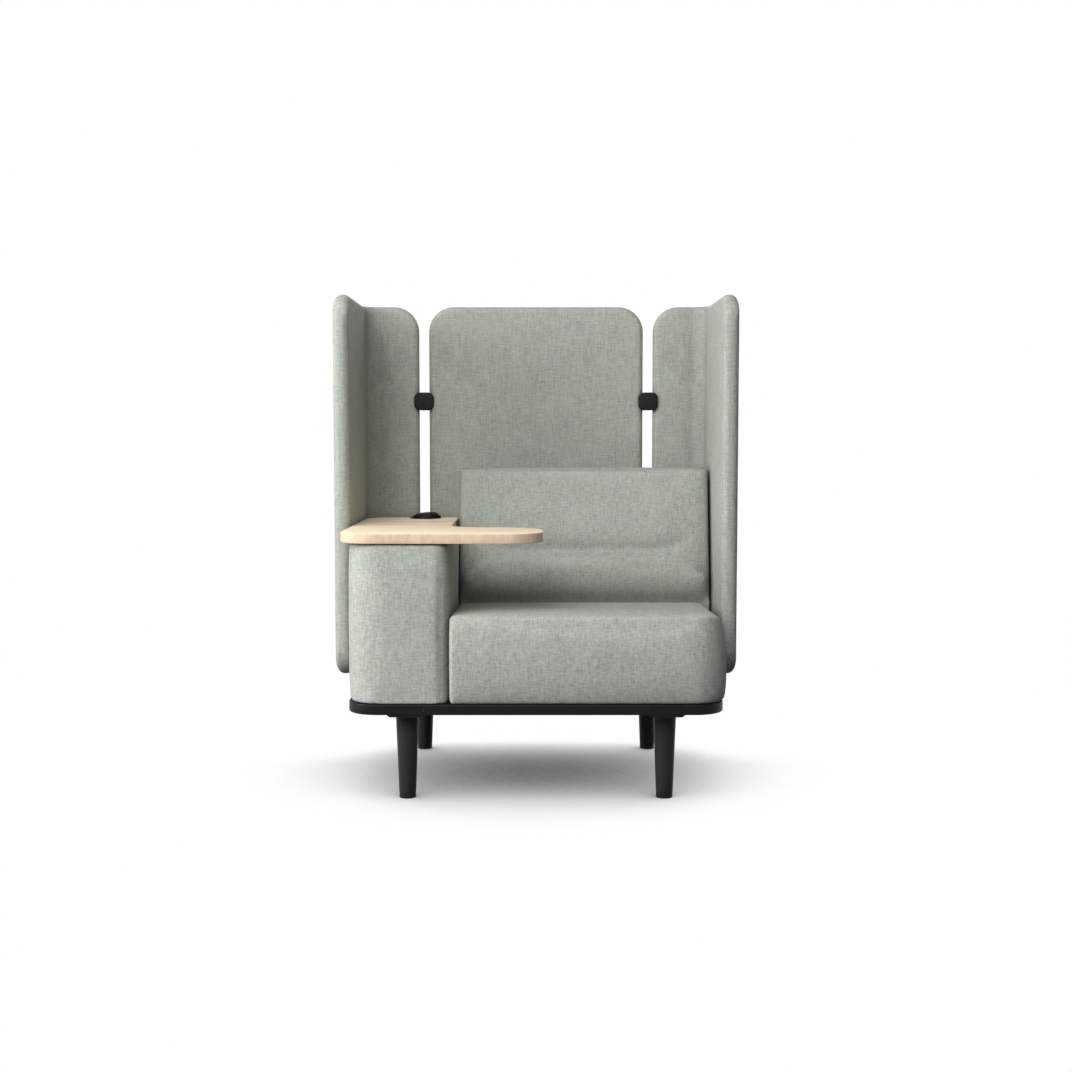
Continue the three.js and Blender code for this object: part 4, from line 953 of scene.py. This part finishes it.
def makeLegs():
    legTop = leg["length"]
    taper = eased([
        (0, leg["boreDepth"], 0), (leg["bore"], leg["boreDepth"], 0), (leg["bore"], 0, 0),
        (leg["foot"], 0, leg["edge"]), (leg["top"], legTop, leg["edge"]), (leg["stud"], legTop, 0),
        (leg["stud"], legTop + leg["studLength"], 0.001), (0, legTop + leg["studLength"], 0),
    ])
    foot = eased([
        (0, 0, 0), (glide["radius"], 0, glide["edge"]), (glide["radius"], glide["height"], glide["edge"] / 2),
        (glide["stem"], glide["height"], 0), (glide["stem"], glide["height"] + glide["stemLength"], 0.0008),
        (0, glide["height"] + glide["stemLength"], 0),
    ])
    for row, y in (("front", leg["front"]), ("rear", leg["rear"])):
        for hand, side in (("left", -1), ("right", 1)):
            spot = (side * leg["across"], baseFront + y)
            piece = turned(f"leg.{row}.{hand}", taper, (*spot, leg["bottom"]))
            dress(piece, legBlack, [f"leg_{row}_{hand}"])
            piece = turned(f"glide.{row}.{hand}", foot, (*spot, 0))
            dress(piece, plastic, [f"glide_{row}_{hand}"], f"glide_{row[0]}{hand[0]}")
    print("legs turned")


makeLegs()


# ---- base rail: a channel swept round the rounded frame, parted at the leg brackets
rail = {
    "half": 0.455, "depth": 0.69, "corner": 0.075, "bottom": 0.2125, "top": 0.2385,
    "width": 0.024, "wall": 0.004, "edge": 0.0036, "lip": 0.001, "inside": 0.002, "bracket": 0.045,
    "cornerSteps": 20, "runSteps": 6,
}


def railProfile():
    low, high, wall, width = rail["bottom"], rail["top"], rail["wall"], rail["width"]
    return eased([
        (width, low + wall, 0), (width, low, rail["lip"]), (0, low, rail["edge"]),
        (0, high, rail["edge"]), (width, high, rail["lip"]), (width, high - wall, 0),
        (wall, high - wall, rail["inside"]), (wall, low + wall, rail["inside"]),
    ])


def straightRun(start, end, inward):
    start, end = Vector(start), Vector(end)
    return [(start.lerp(end, s / rail["runSteps"]), Vector(inward)) for s in range(rail["runSteps"] + 1)]


def cornerRun(x, y, first):
    # first is the angle, in quarter turns, of the outward direction where the corner starts
    centre = Vector((x, y))
    spots = []
    for s in range(1, rail["cornerSteps"]):
        angle = (first + s / rail["cornerSteps"]) * math.pi / 2
        out = Vector((math.cos(angle), math.sin(angle)))
        spots.append((centre + out * rail["corner"], -out))
    return spots


def makeRails():
    front, rear = baseFront, baseFront + rail["depth"]
    near, far = leg["across"] - rail["bracket"], leg["across"] + rail["bracket"]
    corner, half = rail["corner"], rail["half"]
    right = straightRun((far, front), (half - corner, front), (0, 1))
    right += cornerRun(half - corner, front + corner, -1)
    right += straightRun((half, front + corner), (half, rear - corner), (-1, 0))
    right += cornerRun(half - corner, rear - corner, 0)
    right += straightRun((half - corner, rear), (far, rear), (0, -1))
    runs = {
        "front": straightRun((-near, front), (near, front), (0, 1)),
        "rear": straightRun((near, rear), (-near, rear), (0, -1)),
        "right": right,
    }
    runs["left"] = [(Vector((-p.x, p.y)), Vector((-n.x, n.y))) for p, n in reversed(runs["right"])]
    profile = railProfile()
    for name, run in runs.items():
        rings = [[(p.x + n.x * depth, p.y + n.y * depth, z) for depth, z in profile] for p, n in run]
        dress(loft(f"rail.{name}", rings, sharp=sharpEdge), railBlack, [f"{name}_rail"])
    print("rails swept")


makeRails()


# ---- clips between the screens
clip = {
    "x": 0.31725, "z": 0.975, "half": 0.0275, "halfHigh": 0.025, "corner": 0.0175, "thick": 0.007,
    "edge": 0.0032, "dome": 0.0007, "front": 0.7087, "rear": 0.7583, "gap": 0.0003,
    "web": 0.01375, "webHigh": 0.017, "screwApart": 0.020,
    "screw": {"head": 0.0046, "socket": 0.0022, "shank": 0.0025, "deep": 0.0022, "long": 0.0286},
}


def clipPlate(name, x, face, out):
    # out is the way the shown face looks along y; face is the y of that side
    rows = [(clip["thick"], 0.0008), (clip["thick"] - 0.0008, 0)]
    rows += [(drop, inset) for inset, drop in rounding(clip["edge"], 6)]
    rings = []
    for back, inset in rows:
        corners = (clip["corner"],) * 4
        plan = planOutline(-clip["half"], clip["half"], -clip["halfHigh"], clip["halfHigh"], corners, inset, 8, 6)
        rings.append([(x + a, face - out * back, clip["z"] + b) for a, b in plan])
    rim = rings[-1]
    for share in (0.85, 0.7, 0.5, 0.3, 0.12):
        rise = out * clip["dome"] * (1 - share * share)
        rings.append([(x + (a - x) * share, b + rise, clip["z"] + (c - clip["z"]) * share) for a, b, c in rim])
    return loft(name, rings, sharp=sharpEdge)


def makeClips():
    for hand, side in (("left", -1), ("right", 1)):
        x = side * clip["x"]
        front, rear = baseFront + clip["front"], baseFront + clip["rear"]
        plan = planOutline(-clip["web"], clip["web"], -clip["webHigh"], clip["webHigh"], (0.002,) * 4, 0, 4, 4)
        steps = [front + clip["thick"] / 2 + (rear - front - clip["thick"] / 2) * s / 4 for s in range(5)]
        web = loft("web", [[(x + a, y, clip["z"] + b) for a, b in plan] for y in steps], sharp=sharpEdge)
        piece = merged(f"clip.{hand}.front", [clipPlate("plate", x, front, -1), web])
        dress(piece, plastic, [f"clip_{hand}_front"])
        face = rear + clip["gap"] + clip["thick"]
        dress(clipPlate(f"clip.{hand}.rear", x, face, 1), plastic, [f"clip_{hand}_rear"])
        screw = clip["screw"]
        outline = eased([
            (0, -0.0006, 0), (screw["socket"], -0.0006, 0), (screw["shank"], 0.0008, 0.0003),
            (screw["head"], 0.0004, 0.0006), (screw["head"], -screw["deep"], 0),
            (screw["shank"], -screw["deep"], 0), (screw["shank"], -screw["long"], 0.0006),
            (0, -screw["long"], 0),
        ], 3)
        for end, shift in (("lower", -0.5), ("upper", 0.5)):
            spot = (x, face, clip["z"] + shift * clip["screwApart"])
            piece = turned(f"clip.{hand}.screw.{end}", outline, spot, 32, axis="y")
            dress(piece, steel, [f"clip_{hand}_screw_{end}"])
    print("clips made")


makeClips()


# ---- power unit: rim in the table and its hinged lid
power = {
    "at": (-0.309, 0.645), "table": 0.6478, "rim": 0.0435, "thick": 0.0026, "sleeve": 0.0395,
    "bore": 0.037, "deep": 0.042, "lid": 0.0375, "lidRise": 0.0145, "peak": 0.02, "wall": 0.0018, "gap": 0.0003,
    "hinge": 0.0391, "hingeUp": 0.00285, "knuckle": 0.0026, "knuckleHalf": 0.006, "knuckleGap": 0.0002,
    "lug": 0.004, "lugHalf": 0.0022,
    "dome": ((1, 0), (0.998, 0.07), (0.985, 0.17), (0.955, 0.29), (0.905, 0.42), (0.83, 0.56),
             (0.73, 0.69), (0.6, 0.81), (0.45, 0.905), (0.3, 0.96), (0.15, 0.99), (0.04, 1)),
}


def makePower():
    x, y = power["at"][0], baseFront + power["at"][1]
    top = power["table"] + power["thick"]
    bore, sleeve, deep, thick = (power[key] for key in ("bore", "sleeve", "deep", "thick"))
    rim = eased([
        (bore, -deep, 0), (sleeve, -deep, 0.0006), (sleeve, 0, 0),
        (power["rim"], 0, 0.0003), (power["rim"], thick, 0.0016), (bore, thick, 0.0006),
    ])
    parts = [turned("rim", rim, (x, y, power["table"]), 96, True)]
    seatZ = top + power["gap"]
    level = seatZ + power["hingeUp"]
    for side in (-1, 1):
        near = side * (power["knuckleHalf"] + power["knuckleGap"])
        far = near + side * power["lug"]
        ear = [(0, near, 0), (power["knuckle"], near, 0.0004), (power["knuckle"], far, 0.0006), (0, far, 0)]
        parts.append(turned("ear", eased(ear, 3), (x + power["hinge"], y, level), 24, axis="y"))
        foot = planOutline(
            power["hinge"] - power["lugHalf"], power["hinge"] + power["lugHalf"],
            min(near, far), max(near, far), (0.0006,) * 4, 0, 3, 2)
        rings = [[(x + a, y + b, z) for a, b in foot] for z in (top - 0.001, top + 0.001, level)]
        parts.append(loft("foot", rings, sharp=sharpEdge))
    dress(merged("powerRim", parts), plastic, ["power_flange"])

    def shell(shrink, drop):
        rings = []
        for reach, rise in power["dome"]:
            radius, shift = (power["lid"] - shrink) * reach, power["peak"] * (1 - reach)
            angles = [s / 96 * 2 * math.pi for s in range(96)]
            height = seatZ - drop + rise * (power["lidRise"] - shrink)
            rings.append([(x + shift + radius * math.cos(a), y + radius * math.sin(a), height) for a in angles])
        return rings

    cap = loft("cap", shell(power["wall"], 0.0)[::-1] + shell(0, 0.0), sharp=50)
    half = power["knuckleHalf"]
    barrel = [(0, -half, 0), (power["knuckle"], -half, 0.0005), (power["knuckle"], half, 0.0005), (0, half, 0)]
    knuckle = turned("knuckle", eased(barrel, 3), (x + power["hinge"], y, level), 24, axis="y")
    dress(merged("powerLid", [cap, knuckle]), plastic, ["power_lid"], "lid")
    print("power unit made")


makePower()


# ---- nodes that keep their own shape get their finish
finishes = {
    "rail": railBlack, "leg_bracket": railBlack, "leg": legBlack, "glide": plastic, "cross_bar": railBlack,
    "table_mount_plate": railBlack, "power": plastic, "power_lid_pin": steel, "upright": railBlack,
    "screen_spacer": plastic, "clip": plastic, "screen_strap": railBlack, "strap_bolt": steel,
}


def finishNodes():
    for name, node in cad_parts.items():
        material = plyBoards.get(name)
        if name.endswith("_rail"):
            material = railBlack
        elif "_screw_" in name:
            material = steel
        elif material is None:
            fitting = [key for key in finishes if name.startswith(key)]
            if not fitting:
                continue
            material = finishes[max(fitting, key=len)]
        for slot in node.material_slots:
            slot.material = material


finishNodes()
print("carried-over nodes finished")
